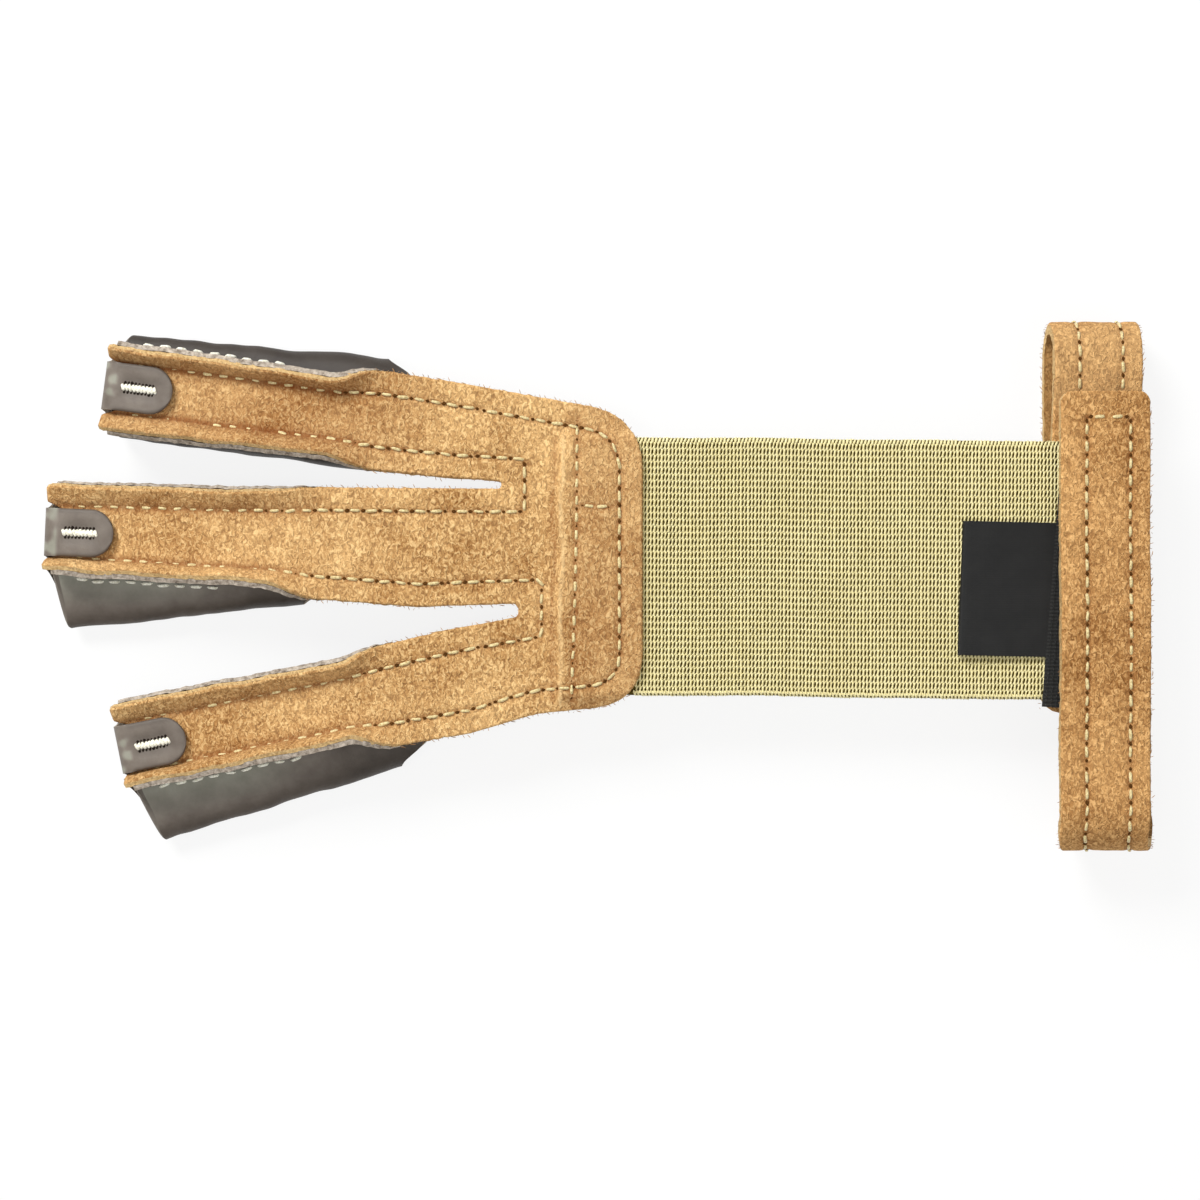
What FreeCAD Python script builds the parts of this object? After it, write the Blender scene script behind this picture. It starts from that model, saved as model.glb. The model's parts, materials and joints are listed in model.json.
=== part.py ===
"""Three-finger archery shooting glove, lying palm down on a table.

A suede hand panel carries three finger straps. Each strap ends in a leather stall, a pocket for the
fingertip, whose tab folds over the strap's end and is bar-tacked there. An elastic band runs from the
panel to a wrist strap, a suede loop that closes with a hook-and-loop flap.

Millimetres. +X runs from the fingertips to the wrist, +Z is up and the table is z = 0. The origin is
the middle of the glove's length and of the wrist loop's span, on the table.
"""

import FreeCAD, Part
import os
from math import atan2, cos, degrees, hypot, radians, sin, asin

V = FreeCAD.Vector

# Sheet thicknesses
SUEDE = 1.3
LINING = 1.1
STALL_LEATHER = 1.6
ELASTIC = 1.5
HOOK_TAPE = 1.3
LOOP_TAPE = 1.1
LABEL_CLOTH = 0.25

# Clearances
ROOT_CLEARANCE = 0.3  # round the rounded root of a finger strap or of the flap
TAPE_CLEARANCE = 0.3  # between the hooks and the loops
TIP_CLEARANCE = 0.2  # between a strap's end and the tab folded over it

# Wrist strap, a flattened loop
STRAP_WIDTH = 17.2
STRAP_SPAN = 104.0  # over both folds
LOOP_GAP = 8.2  # clear height inside the loop
UNDER_END_INSET = 27.0  # from the near fold to the sewn end under the flap
FLAP_INSET = 14.7  # from the far fold to the flap's free end
FLAP_ROOT_INSET = 23.0  # from the near fold to the line that the flap is peeled back from
FLAP_CORNER = 1.6
UNDER_CORNER = 4.0

# Elastic band
ELASTIC_WIDTH = 50.0
ELASTIC_FREE = 80.3  # between the panel and the strap
ELASTIC_IN_PANEL = 16.0
ELASTIC_IN_STRAP = 14.0
ELASTIC_OFFSET = 3.3  # its middle, from the middle of the loop's span
SELVEDGE = 0.5

# Hook and loop tapes
TAPE_LENGTH = 52.0
HOOK_WIDTH = 15.5
LOOP_WIDTH = 15.5
HOOK_SKEW = 4.5  # degrees that the hook tape is sewn off square
HOOK_SHIFT = 1.9  # of its middle, towards the panel
TAPE_MARGIN = 2.6  # of the hook tape, past the elastic's near edge

# Label, a folded ribbon caught under the hook tape
LABEL_LENGTH = 18.4
LABEL_WIDTH = 26.0
LABEL_OFFSET = -4.3  # its middle, from the elastic's middle
LABEL_TUCK = 1.6
LABEL_FOLD = 0.3

# Hand panel
PANEL_TOP_CORNER = 33.0  # the two wrist-side corners, from the middle of the loop's span
PANEL_BOTTOM_CORNER = -23.0
PANEL_TOP_RADIUS = 13.0
PANEL_BOTTOM_RADIUS = 11.0
PANEL_HIP = (20.5, -25.0)  # where the lower edge turns towards the first finger
PANEL_HIP_RADIUS = 22.0
BUMP_MARGIN = 2.2  # of the suede tented over the elastic's end

# The slits between the straps: reach from the panel's wrist edge, side, width
UPPER_SLIT = (27.4, 19.5, 1.5)
LOWER_SLIT = (24.1, -4.9, 2.6)

# Finger straps and stalls
SEAM_INSET = 4.5  # from the cut edge to the seam
TIP_HEIGHT = 8.3  # of a strap's underside at its tip, above the table
TIP_WIDTH = 20.0  # of the suede, laid flat
EDGE_RUNOUT = 12.0  # length over which the turned-up edges lie down again at the mouth
EDGE_STEPS = 3  # stations along that run-out
STALL_STEPS = 3  # and from there to the tip
SHOULDER = 0.35  # how far down its depth a stall is widest from
POCKET_RADIUS = 3.2  # of the pocket's long corners
TAB_WIDTH = 9.4
TAB_LENGTH = 11.5
TAB_NOSE = 2.6  # outer radius over the strap's end
TAB_TOE = 4.0  # outer radius where the tab meets the sole
TOE_SLANT = 22.0  # degrees that the toe leans back
TAB_OVERLAP = 6.0  # of the tab, into the sole
WING = 2.4  # of the suede past the stall, on both sides of the tab
TOE_CORNER = 4.5  # length that the sole's wide corner is cut back

# Bar tacks
TACK_LENGTH = 6.4
TACK_WIDTH = 1.5
TACK_HEIGHT = 0.35
TACK_WRAPS = 8
TACK_SETBACK = 1.4  # from the strap's end

# reach and across: the knuckle, from the panel's wrist edge and the elastic's middle. aim: degrees
# towards +Y. length: knuckle to the strap's end. base and mouth: the suede's width at the knuckle and
# at the stall's mouth. wide: the side that the pocket bulges to, +1 towards -Y. wide_tip, wide_mouth
# and narrow: the pocket's reach from its middle. wide_edge and narrow_edge: how far each cut edge is
# turned up, at the tip and near the mouth.
FINGERS = [
    dict(name="index", reach=35.4, across=-22.0, aim=-11.5, length=66.1, stall=54.5, base=20.6,
         mouth=20.0, wide=1, wide_tip=20.0, wide_mouth=15.0, narrow=8.6,
         wide_edge=(66.0, 76.0), narrow_edge=(38.0, 55.0)),
    dict(name="middle", reach=43.4, across=4.0, aim=2.5, length=71.2, stall=53.0, base=23.1,
         mouth=22.0, wide=1, wide_tip=19.5, wide_mouth=12.5, narrow=9.0,
         wide_edge=(62.0, 66.0), narrow_edge=(30.0, 36.0)),
    dict(name="ring", reach=37.4, across=26.9, aim=7.6, length=66.1, stall=53.5, base=18.6,
         mouth=19.4, wide=-1, wide_tip=11.2, wide_mouth=13.6, narrow=9.6,
         wide_edge=(58.0, 72.0), narrow_edge=(40.0, 52.0)),
]

# Levels, built up from the table
STRAP_THICK = SUEDE + LINING
PANEL_LEVEL = 2 * STRAP_THICK + LOOP_GAP  # underside of the panel's suede and of the elastic
HOOK_LEVEL = PANEL_LEVEL + ELASTIC
LOOP_LEVEL = HOOK_LEVEL + HOOK_TAPE + TAPE_CLEARANCE
FLAP_LEVEL = LOOP_LEVEL + LOOP_TAPE
FLAP_TOP = FLAP_LEVEL + STRAP_THICK
KNUCKLE_LEVEL = PANEL_LEVEL + (SUEDE - LINING) / 2  # mid-thickness of suede and lining
ROOT_RADIUS = STRAP_THICK / 2

# The own frame of a finger strap, or of the flap, has its origin on the axis it bends about, at
# mid-thickness: u runs to its free end, v across it and w up.
UNDER = (LINING - SUEDE) / 2  # the suede's underside
TOP = UNDER + SUEDE


def pitch(finger):
    """How far a strap slopes down to its tip, in radians."""
    return asin((KNUCKLE_LEVEL + UNDER - TIP_HEIGHT) / finger["length"])


def table_level(finger, u):
    """The table's w in the strap's own frame."""
    slope = pitch(finger)
    return -(KNUCKLE_LEVEL - u * sin(slope)) / cos(slope)


def forward_reach(finger):
    """From the panel's wrist edge to the foremost corner of a finger's tab."""
    aim = radians(finger["aim"])
    ahead = finger["length"] + TIP_CLEARANCE + TAB_NOSE
    return finger["reach"] + ahead * cos(pitch(finger)) * cos(aim) + abs(sin(aim)) * TAB_WIDTH / 2


# Places along X and Y
GLOVE_LENGTH = STRAP_WIDTH + ELASTIC_FREE + max(forward_reach(f) for f in FINGERS)
STRAP_OUTER_X = GLOVE_LENGTH / 2
STRAP_INNER_X = STRAP_OUTER_X - STRAP_WIDTH
PANEL_X = STRAP_INNER_X - ELASTIC_FREE
FAR_FOLD = (LOOP_GAP + 2 * STRAP_THICK) / 2  # outer radius of the fold that stays closed
NEAR_FOLD = FLAP_TOP / 2  # outer radius of the fold that leads to the flap
FAR_FOLD_Y = STRAP_SPAN / 2 - FAR_FOLD
NEAR_FOLD_Y = NEAR_FOLD - STRAP_SPAN / 2
UNDER_END_Y = UNDER_END_INSET - STRAP_SPAN / 2
FLAP_ROOT_Y = FLAP_ROOT_INSET - STRAP_SPAN / 2
FLAP_END_Y = STRAP_SPAN / 2 - FLAP_INSET
ELASTIC_NEAR_Y = ELASTIC_OFFSET - ELASTIC_WIDTH / 2
ELASTIC_LEFT_X = PANEL_X - ELASTIC_IN_PANEL


def knuckle(finger):
    """A finger's knuckle axis: its middle, in the glove's frame."""
    return V(PANEL_X - finger["reach"], ELASTIC_OFFSET + finger["across"], KNUCKLE_LEVEL)


def strap_frame(finger):
    """The placement that carries a strap's own frame into the glove's."""
    turn = FreeCAD.Rotation(V(0, 0, 1), 180 - finger["aim"])
    slope = FreeCAD.Rotation(V(0, 1, 0), degrees(pitch(finger)))
    return FreeCAD.Placement(knuckle(finger), turn.multiply(slope))


# ---- drawing helpers ----

def offset_line(points, distance):
    """An open chain of 2D points moved to its left by distance, mitred at the corners."""
    normals = []
    for (ax, ay), (bx, by) in zip(points, points[1:]):
        long = hypot(bx - ax, by - ay)
        normals.append(((ay - by) / long, (bx - ax) / long))
    moved = []
    for i, (x, y) in enumerate(points):
        nx, ny = normals[max(i - 1, 0)]
        mx, my = normals[min(i, len(normals) - 1)]
        share = distance / (1 + nx * mx + ny * my)
        moved.append((x + (nx + mx) * share, y + (ny + my) * share))
    return moved


def path_edges(start, heading, moves, offset, place):
    """Edges of a path of straight runs (length,) and bends (radius, degrees left), drawn offset to its
    left. place turns a 2D point into a 3D one."""
    x, y, turn = start[0], start[1], radians(heading)
    edges = []

    def at(px, py, angle):
        return place(px - offset * sin(angle), py + offset * cos(angle))

    for move in moves:
        if len(move) == 1:
            nx, ny = x + move[0] * cos(turn), y + move[0] * sin(turn)
            edges.append(Part.LineSegment(at(x, y, turn), at(nx, ny, turn)).toShape())
            x, y = nx, ny
        else:
            radius, bend = move[0], radians(move[1])
            side = 1 if bend > 0 else -1
            cx, cy = x - side * radius * sin(turn), y + side * radius * cos(turn)

            def on_arc(part):
                angle = turn + bend * part
                return cx + side * radius * sin(angle), cy - side * radius * cos(angle), angle

            edges.append(Part.Arc(*(at(*on_arc(part)) for part in (0, 0.5, 1))).toShape())
            x, y, turn = on_arc(1)
    return edges


def band(start, heading, moves, outer, inner, place):
    """The face between two offsets of one path: a sheet seen on edge."""
    first = path_edges(start, heading, moves, outer, place)
    second = path_edges(start, heading, moves, inner, place)

    def cap(a, b):
        return Part.LineSegment(a, b).toShape()

    starts = cap(first[0].Vertexes[0].Point, second[0].Vertexes[0].Point)
    ends = cap(first[-1].Vertexes[-1].Point, second[-1].Vertexes[-1].Point)
    return Part.Face(Part.Wire(Part.__sortEdges__(first + [ends] + second + [starts])))


def rounded_face(corners, level):
    """A flat face from corners (x, y) or (x, y, fillet radius)."""
    edges, joins = [], []
    count = len(corners)
    for i, corner in enumerate(corners):
        here = V(corner[0], corner[1], level)
        radius = corner[2] if len(corner) > 2 else 0
        if not radius:
            joins.append((here, here))
            continue
        before, after = corners[i - 1], corners[(i + 1) % count]
        a = (V(before[0], before[1], level) - here).normalize()
        b = (V(after[0], after[1], level) - here).normalize()
        half = a.getAngle(b) / 2
        back = radius * cos(half) / sin(half)
        middle = (a + b).normalize() * (radius / sin(half) - radius)
        joins.append((here + a * back, here + b * back))
        edges.append(Part.Arc(here + a * back, here + middle, here + b * back).toShape())
    for i in range(count):
        a, b = joins[i][1], joins[(i + 1) % count][0]
        edges.append(Part.LineSegment(a, b).toShape())
    return Part.Face(Part.Wire(Part.__sortEdges__(edges)))


def slab(corners, bottom, thick):
    return rounded_face(corners, bottom).extrude(V(0, 0, thick))


def box(x0, x1, y0, y1, z0, z1):
    return Part.makeBox(x1 - x0, y1 - y0, z1 - z0, V(x0, y0, z0))


# ---- finger straps ----

def between(low, high, part):
    return low + (high - low) * part


def stations(finger):
    """(u, half-width between the seams, wide edge's and narrow edge's angle, pocket's wide and narrow
    reach) from the stall's mouth, where the edges lie flat, to the tip."""
    mouth, stall_length = finger["length"] - finger["stall"], finger["stall"]
    places = [EDGE_RUNOUT * i / EDGE_STEPS for i in range(EDGE_STEPS)]
    places += [between(EDGE_RUNOUT, stall_length, i / STALL_STEPS) for i in range(STALL_STEPS + 1)]
    found = []
    for place in places:
        part, up = place / stall_length, min(place / EDGE_RUNOUT, 1)
        rise = up * up * (3 - 2 * up)
        seam = between(finger["mouth"], TIP_WIDTH, part) / 2 - SEAM_INSET
        wide_edge, narrow_edge = (radians(between(edge[1], edge[0], part)) * rise
                                  for edge in (finger["wide_edge"], finger["narrow_edge"]))
        wide = between(finger["wide_mouth"], finger["wide_tip"], part)
        found.append((mouth + place, seam, wide_edge, narrow_edge, wide, finger["narrow"]))
    return found


def suede_line(seam, wide_edge, narrow_edge):
    """The underside of a strap across its width, narrow side first, as (v, w)."""
    return [
        (-seam - SEAM_INSET * cos(narrow_edge), UNDER + SEAM_INSET * sin(narrow_edge)),
        (-seam, UNDER),
        (seam, UNDER),
        (seam + SEAM_INSET * cos(wide_edge), UNDER + SEAM_INSET * sin(wide_edge)),
    ]


def in_section(finger, u):
    """Turns (v, w) at u into a point, with v to the pocket's wide side."""
    return lambda point: V(u, finger["wide"] * point[0], point[1])


def faceted_loft(rings):
    """A solid through closed rings of points. Each side between two rings is folded along a diagonal, so
    that all its faces are flat and two lofts that share a line touch all over."""
    triangles = []
    for here, there in zip(rings, rings[1:]):
        for i in range(len(here)):
            j = (i + 1) % len(here)
            triangles += [(here[i], here[j], there[j]), (here[i], there[j], there[i])]
    faces = [Part.Face(Part.makePolygon([*ring, ring[0]])) for ring in [rings[0], rings[-1], *triangles]]
    solid = Part.Solid(Part.makeShell(faces))
    return solid if solid.Volume > 0 else solid.reversed()


def rooted_plate(low, high, far, base, end, corner=0):
    """A flat strap layer between two levels, from its rounded root to u = far. base and end are its widths
    there."""
    flat = slab([(0, -base / 2), (0, base / 2), (far, end / 2, corner), (far, -end / 2, corner)], low,
                high - low)
    root = Part.makeCylinder(ROOT_RADIUS, base, V(0, -base / 2, 0), V(0, 1, 0))
    half = box(-ROOT_RADIUS, 0, -base, base, low, high)
    return flat.fuse(root.common(half)).removeSplitter()


def finger_strap(finger):
    """The suede strap: flat at the knuckle, its edges turned up along the stall, and its end cut out for
    the tab."""
    rings, tip = [], finger["length"]
    sections = stations(finger)
    for u, seam, wide_edge, narrow_edge, _, _ in sections + [(tip + WING, *sections[-1][1:])]:
        line = suede_line(seam, wide_edge, narrow_edge)
        ring = line + offset_line(line, SUEDE)[::-1]
        rings.append([in_section(finger, u)(p) for p in ring])
    half = TAB_WIDTH / 2 + TIP_CLEARANCE
    channel = faceted_loft(rings).cut(box(tip, tip + WING + 1, -half, half, UNDER - 1, TOP + 1))
    flat = rooted_plate(UNDER, TOP, stations(finger)[0][0], finger["base"], finger["mouth"])
    return flat.fuse(channel).removeSplitter()


def finger_lining(finger):
    return rooted_plate(UNDER - LINING, UNDER, stations(finger)[0][0], finger["base"], finger["mouth"])


def seam_corner(seam, edge, reach, depth):
    """Where one edge of a stall turns from the seam allowance into the pocket's wall: the crease outside,
    the wall's inner start, and the pocket's widest corner, for the side that +v points to."""
    half = STALL_LEATHER / 2
    middle = (seam + half * sin(edge), UNDER - half * cos(edge))
    widest = (reach, UNDER - SHOULDER * depth)
    drop = atan2(middle[1] - widest[1], widest[0] - middle[0])
    out = half / sin((edge + drop) / 2)
    crease = (middle[0] + out * cos((edge - drop) / 2), middle[1] + out * sin((edge - drop) / 2))
    inside = (middle[0] - half * sin(drop), middle[1] - half * cos(drop))
    return crease, inside, widest


def mirrored(point):
    return (-point[0], point[1])


def corners_rounded(points, radius):
    """A polyline with each of its corners turned into three chords of a fillet, smaller where a side is
    short."""
    line = [V(x, y, 0) for x, y in points]
    found = [points[0]]
    for before, here, after in zip(line, line[1:], line[2:]):
        a, b = before - here, after - here
        half = a.getAngle(b) / 2
        back = min(radius * cos(half) / sin(half), a.Length * 0.45, b.Length * 0.45)
        size = back * sin(half) / cos(half)
        first, middle = a.normalize(), (a + V(b).normalize()).normalize()
        centre = here + middle * (size / sin(half))
        start = here + first * back - centre
        turn = 180 - 2 * degrees(half)
        sense = 1 if start.cross(here + b.normalize() * back - centre).z > 0 else -1
        for i in range(4):
            step = FreeCAD.Rotation(V(0, 0, 1), sense * turn * i / 3).multVec(start) + centre
            found.append((step.x, step.y))
    return found + [points[-1]]


def stall_section(finger, u, seam, wide_edge, narrow_edge, wide, narrow):
    """The stall's leather at u as a ring of points: seam allowances under the suede's turned-up edges, and
    the pocket between them, flat where it lies on the table."""
    floor = table_level(finger, u)
    depth = UNDER - floor
    crease_w, inside_w, widest_w = seam_corner(seam, wide_edge, wide, depth)
    crease_n, inside_n, widest_n = map(mirrored, seam_corner(seam, narrow_edge, narrow, depth))
    outer = corners_rounded([crease_n, widest_n, (-narrow, floor), (wide, floor), widest_w, crease_w],
                            POCKET_RADIUS)
    inner = offset_line(outer, STALL_LEATHER)
    line = suede_line(seam, wide_edge, narrow_edge)
    lower = offset_line(line, -STALL_LEATHER)
    ring = line[:2] + [inside_n] + inner[1:-1] + [inside_w] + line[2:] + [lower[3]] + outer[::-1] + [lower[0]]
    return [in_section(finger, u)(p) for p in ring]


def toe_path(finger):
    """The outer side of a tab seen from the side, from its sewn end over the strap's end to the sole."""
    tip = finger["length"] + TIP_CLEARANCE
    start = (tip - TAB_LENGTH, TOP + STALL_LEATHER)
    slant, slope = radians(TOE_SLANT), pitch(finger)
    toe_u = tip + TAB_NOSE * cos(slant)
    height = start[1] - table_level(finger, toe_u)
    drop = TAB_NOSE * (1 + sin(slant)) + TAB_TOE * (cos(slope) - sin(slant))
    back = TAB_NOSE * cos(slant) - TAB_TOE * (cos(slant) - sin(slope))
    level = (height - drop + (toe_u - tip - back) * sin(slope)) / (cos(slant) + sin(slant) * sin(slope))
    moves = [(TAB_LENGTH,), (TAB_NOSE, -90 - TOE_SLANT), (level,),
             (TAB_TOE, -90 + TOE_SLANT + degrees(slope)), (TAB_OVERLAP,)]
    return start, moves


def side_view(u, w):
    return V(u, 0, w)


def stall_tab(finger):
    """The tongue of stall leather that comes up from the sole and folds over the strap's end."""
    start, moves = toe_path(finger)
    strip = band(start, 0, moves, 0, -STALL_LEATHER, side_view)
    strip.translate(V(0, -TAB_WIDTH / 2, 0))
    solid = strip.extrude(V(0, TAB_WIDTH, 0))
    nose = start[0] + TAB_LENGTH + TAB_NOSE + 1
    radius = TAB_WIDTH * 0.46
    outline = [(start[0], -TAB_WIDTH / 2, radius), (nose, -TAB_WIDTH / 2),
               (nose, TAB_WIDTH / 2), (start[0], TAB_WIDTH / 2, radius)]
    floor = table_level(finger, 0) - 1
    return solid.common(slab(outline, floor, TOP + STALL_LEATHER + 1 - floor))


def stall(finger):
    """A stall: the pocket, its toe cut to lean back under the tab, and the tab."""
    pocket = faceted_loft([stall_section(finger, *station) for station in stations(finger)])
    start, moves = toe_path(finger)
    edges = path_edges(start, 0, moves, 0, side_view)
    slant, toe = edges[2], edges[3]
    top = slant.Vertexes[0].Point
    low = toe.Vertexes[-1].Point
    ahead = V(top.x + TAB_NOSE, 0, low.z - 2)
    profile = [slant.Vertexes[-1].Point, toe.valueAt((toe.FirstParameter + toe.LastParameter) / 2), low,
               V(low.x, 0, ahead.z), ahead, V(ahead.x, 0, top.z), top]
    reach = max(finger["wide_tip"], finger["wide_mouth"]) + 1
    front = Part.Face(Part.makePolygon(profile + profile[:1]))
    front.translate(V(0, -reach, 0))
    pocket = pocket.cut(front.extrude(V(0, 2 * reach, 0)))
    tip, wide = finger["length"], finger["wide"]
    brow = TIP_WIDTH / 2 - SEAM_INSET + STALL_LEATHER + 1.4
    corner = [(tip + 1, wide * brow), (tip + 1, wide * reach * 1.2), (tip - TOE_CORNER, wide * reach * 1.2),
              (tip - TOE_CORNER, wide * finger["wide_tip"])]
    floor = table_level(finger, 0) - 1
    pocket = pocket.cut(slab(corner, floor, UNDER - 0.01 - floor))
    return pocket.fuse(stall_tab(finger)).removeSplitter()


def bar_tack(finger):
    """The tab's bar tack: a row of thread wraps across a short line."""
    wrap = TACK_LENGTH / TACK_WRAPS
    first = finger["length"] - TACK_SETBACK - TACK_LENGTH
    level = TOP + STALL_LEATHER
    wraps = []
    for i in range(TACK_WRAPS):
        u = first + i * wrap
        crown = [(u, 0), (u + wrap * 0.25, TACK_HEIGHT), (u + wrap * 0.75, TACK_HEIGHT), (u + wrap, 0)]
        points = [V(x, -TACK_WIDTH / 2, level + rise) for x, rise in crown]
        wraps.append(Part.Face(Part.makePolygon(points + points[:1])).extrude(V(0, TACK_WIDTH, 0)))
    return wraps[0].multiFuse(wraps[1:])


# ---- hand panel and elastic ----

def panel_outline():
    """The panel's cut edge, from the ring finger's knuckle clockwise."""
    by_name = {f["name"]: f for f in FINGERS}

    def root(name, side):
        finger = by_name[name]
        aim = radians(finger["aim"])
        gap, half = ROOT_RADIUS + ROOT_CLEARANCE, side * finger["base"] / 2
        middle = knuckle(finger)
        return (middle.x + gap * cos(aim) + half * sin(aim), middle.y - gap * sin(aim) + half * cos(aim))

    def slit(size):
        reach, side, width = size
        x, bend = PANEL_X - reach, width * 0.48
        return [(x, side + width / 2, bend), (x, side - width / 2, bend)]

    hip = (PANEL_X - PANEL_HIP[0], PANEL_HIP[1], PANEL_HIP_RADIUS)
    return [
        root("ring", 1), (PANEL_X, PANEL_TOP_CORNER, PANEL_TOP_RADIUS),
        (PANEL_X, PANEL_BOTTOM_CORNER, PANEL_BOTTOM_RADIUS), hip,
        root("index", -1), root("index", 1), *slit(LOWER_SLIT)[::-1],
        root("middle", -1), root("middle", 1), *slit(UPPER_SLIT)[::-1], root("ring", -1),
    ]


def elastic_shape():
    right = STRAP_INNER_X + ELASTIC_IN_STRAP
    near, far = ELASTIC_NEAR_Y, ELASTIC_NEAR_Y + ELASTIC_WIDTH
    solid = box(ELASTIC_LEFT_X, right, near, far, PANEL_LEVEL, HOOK_LEVEL)
    sides = [e for e in solid.Edges if e.Length > ELASTIC_WIDTH * 1.5]
    return solid.makeFillet(SELVEDGE, sides)


def hand_panel():
    """The suede, tented over the elastic's end, which lies between it and the lining."""
    outline = panel_outline()
    flat = slab(outline, PANEL_LEVEL, SUEDE)
    near, far = ELASTIC_NEAR_Y, ELASTIC_NEAR_Y + ELASTIC_WIDTH
    top = HOOK_LEVEL + SUEDE
    bump = box(ELASTIC_LEFT_X - BUMP_MARGIN, PANEL_X + 5, near - BUMP_MARGIN, far + BUMP_MARGIN,
               PANEL_LEVEL, top)
    rims = [e for e in bump.Edges if min(v.Z for v in e.Vertexes) > top - 0.01
            and min(v.X for v in e.Vertexes) < PANEL_X + 4]
    bump = bump.makeChamfer(min(ELASTIC, BUMP_MARGIN) * 0.9, rims)
    solid = flat.fuse(bump.common(slab(outline, PANEL_LEVEL, top - PANEL_LEVEL + 1)))
    under = box(ELASTIC_LEFT_X, PANEL_X + 6, near, far, PANEL_LEVEL, HOOK_LEVEL)
    return solid.cut(under).removeSplitter()


def hand_lining():
    return slab(panel_outline(), PANEL_LEVEL - LINING, LINING)


# ---- wrist strap ----

def loop_view(y, z):
    return V(STRAP_INNER_X, y, z)


def wrist_strap(outer, inner):
    """One layer of the loop: from the flap's root round the near fold, along the table, round the far fold
    and back to the sewn end, whose corners are rounded."""
    start = (FLAP_ROOT_Y - ROOT_RADIUS - ROOT_CLEARANCE, FLAP_TOP)
    moves = [(start[0] - NEAR_FOLD_Y,), (NEAR_FOLD, 180), (FAR_FOLD_Y - NEAR_FOLD_Y,), (FAR_FOLD, 180),
             (FAR_FOLD_Y - UNDER_END_Y,)]
    solid = band(start, 180, moves, outer, inner, loop_view).extrude(V(STRAP_WIDTH, 0, 0))
    tongue = [(STRAP_INNER_X, UNDER_END_Y, UNDER_CORNER), (STRAP_OUTER_X, UNDER_END_Y, UNDER_CORNER),
              (STRAP_OUTER_X, STRAP_SPAN), (STRAP_INNER_X, STRAP_SPAN)]
    zone = box(STRAP_INNER_X, STRAP_OUTER_X, UNDER_END_Y, FAR_FOLD_Y, FAR_FOLD, HOOK_LEVEL)
    return solid.cut(zone.cut(slab(tongue, 0, FLAP_TOP)))


def flap(low, high):
    """One layer of the flap that closes over the sewn end."""
    solid = rooted_plate(low, high, FLAP_END_Y - FLAP_ROOT_Y, STRAP_WIDTH, STRAP_WIDTH, FLAP_CORNER)
    middle = V((STRAP_INNER_X + STRAP_OUTER_X) / 2, FLAP_ROOT_Y, FLAP_LEVEL + STRAP_THICK / 2)
    solid.Placement = FreeCAD.Placement(middle, FreeCAD.Rotation(V(0, 0, 1), 90))
    return solid


def tape_middle(shift=0):
    return V((STRAP_INNER_X + STRAP_OUTER_X) / 2 - shift, ELASTIC_NEAR_Y - TAPE_MARGIN + TAPE_LENGTH / 2, 0)


def tape(middle, width, bottom, thick):
    near, far = middle.y - TAPE_LENGTH / 2, middle.y + TAPE_LENGTH / 2
    left, right = middle.x - width / 2, middle.x + width / 2
    return slab([(left, near, 1), (right, near, 1), (right, far, 1), (left, far, 1)], bottom, thick)


def label():
    """A ribbon folded back on itself, both ends caught under the hook tape."""
    root = STRAP_INNER_X + LABEL_TUCK
    run = LABEL_LENGTH + LABEL_TUCK - LABEL_FOLD
    middle = ELASTIC_OFFSET + LABEL_OFFSET
    fold = band((root, HOOK_LEVEL), 180, [(run,), (LABEL_FOLD, -180), (run,)], 0, -LABEL_CLOTH,
                lambda x, z: V(x, middle - LABEL_WIDTH / 2, z))
    return fold.extrude(V(0, LABEL_WIDTH, 0))


def hook_tape():
    """The hook tape, sewn a little askew over the elastic's end and hollowed for the label's root."""
    centre = tape_middle(HOOK_SHIFT)
    solid = tape(centre, HOOK_WIDTH, HOOK_LEVEL, HOOK_TAPE)
    solid.rotate(centre, V(0, 0, 1), -HOOK_SKEW)
    middle = ELASTIC_OFFSET + LABEL_OFFSET
    root = box(STRAP_INNER_X - LABEL_LENGTH, STRAP_INNER_X + LABEL_TUCK, middle - LABEL_WIDTH / 2,
               middle + LABEL_WIDTH / 2, HOOK_LEVEL, HOOK_LEVEL + 2 * LABEL_FOLD)
    return solid.cut(root)


def build():
    """Every sub-part by its node's name."""
    nodes = {
        "hand_panel": hand_panel(),
        "hand_lining": hand_lining(),
        "elastic_band": elastic_shape(),
        "wrist_strap_suede": wrist_strap(0, SUEDE),
        "wrist_strap_lining": wrist_strap(SUEDE, STRAP_THICK),
        "flap_suede": flap(UNDER, TOP),
        "flap_lining": flap(UNDER - LINING, UNDER),
        "hook_tape": hook_tape(),
        "loop_tape": tape(tape_middle(), LOOP_WIDTH, LOOP_LEVEL, LOOP_TAPE),
        "label": label(),
    }
    for finger in FINGERS:
        frame = strap_frame(finger)
        pieces = {"strap": finger_strap, "lining": finger_lining, "stall": stall, "bar_tack": bar_tack}
        for piece, make in pieces.items():
            shape = make(finger)
            shape.Placement = frame.multiply(shape.Placement)
            nodes[finger["name"] + "_" + piece] = shape
    return nodes


def main():
    os.makedirs("parts", exist_ok=True)
    for name, shape in build().items():
        shape.exportStep("parts/" + name + ".step")


main()
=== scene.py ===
"""Looks of a three-finger archery shooting glove: suede, leather stalls, webbing, seams and the studio.

Every piece takes its place from the frame's joints and boxes. Sizes below are in millimetres and are
turned into metres by MM as they are used.
"""

import json
import bpy
from functools import lru_cache
from math import cos, exp, hypot, pi, radians, sin, sqrt, tan
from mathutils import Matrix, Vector, kdtree, noise
from mathutils.geometry import delaunay_2d_cdt


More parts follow.
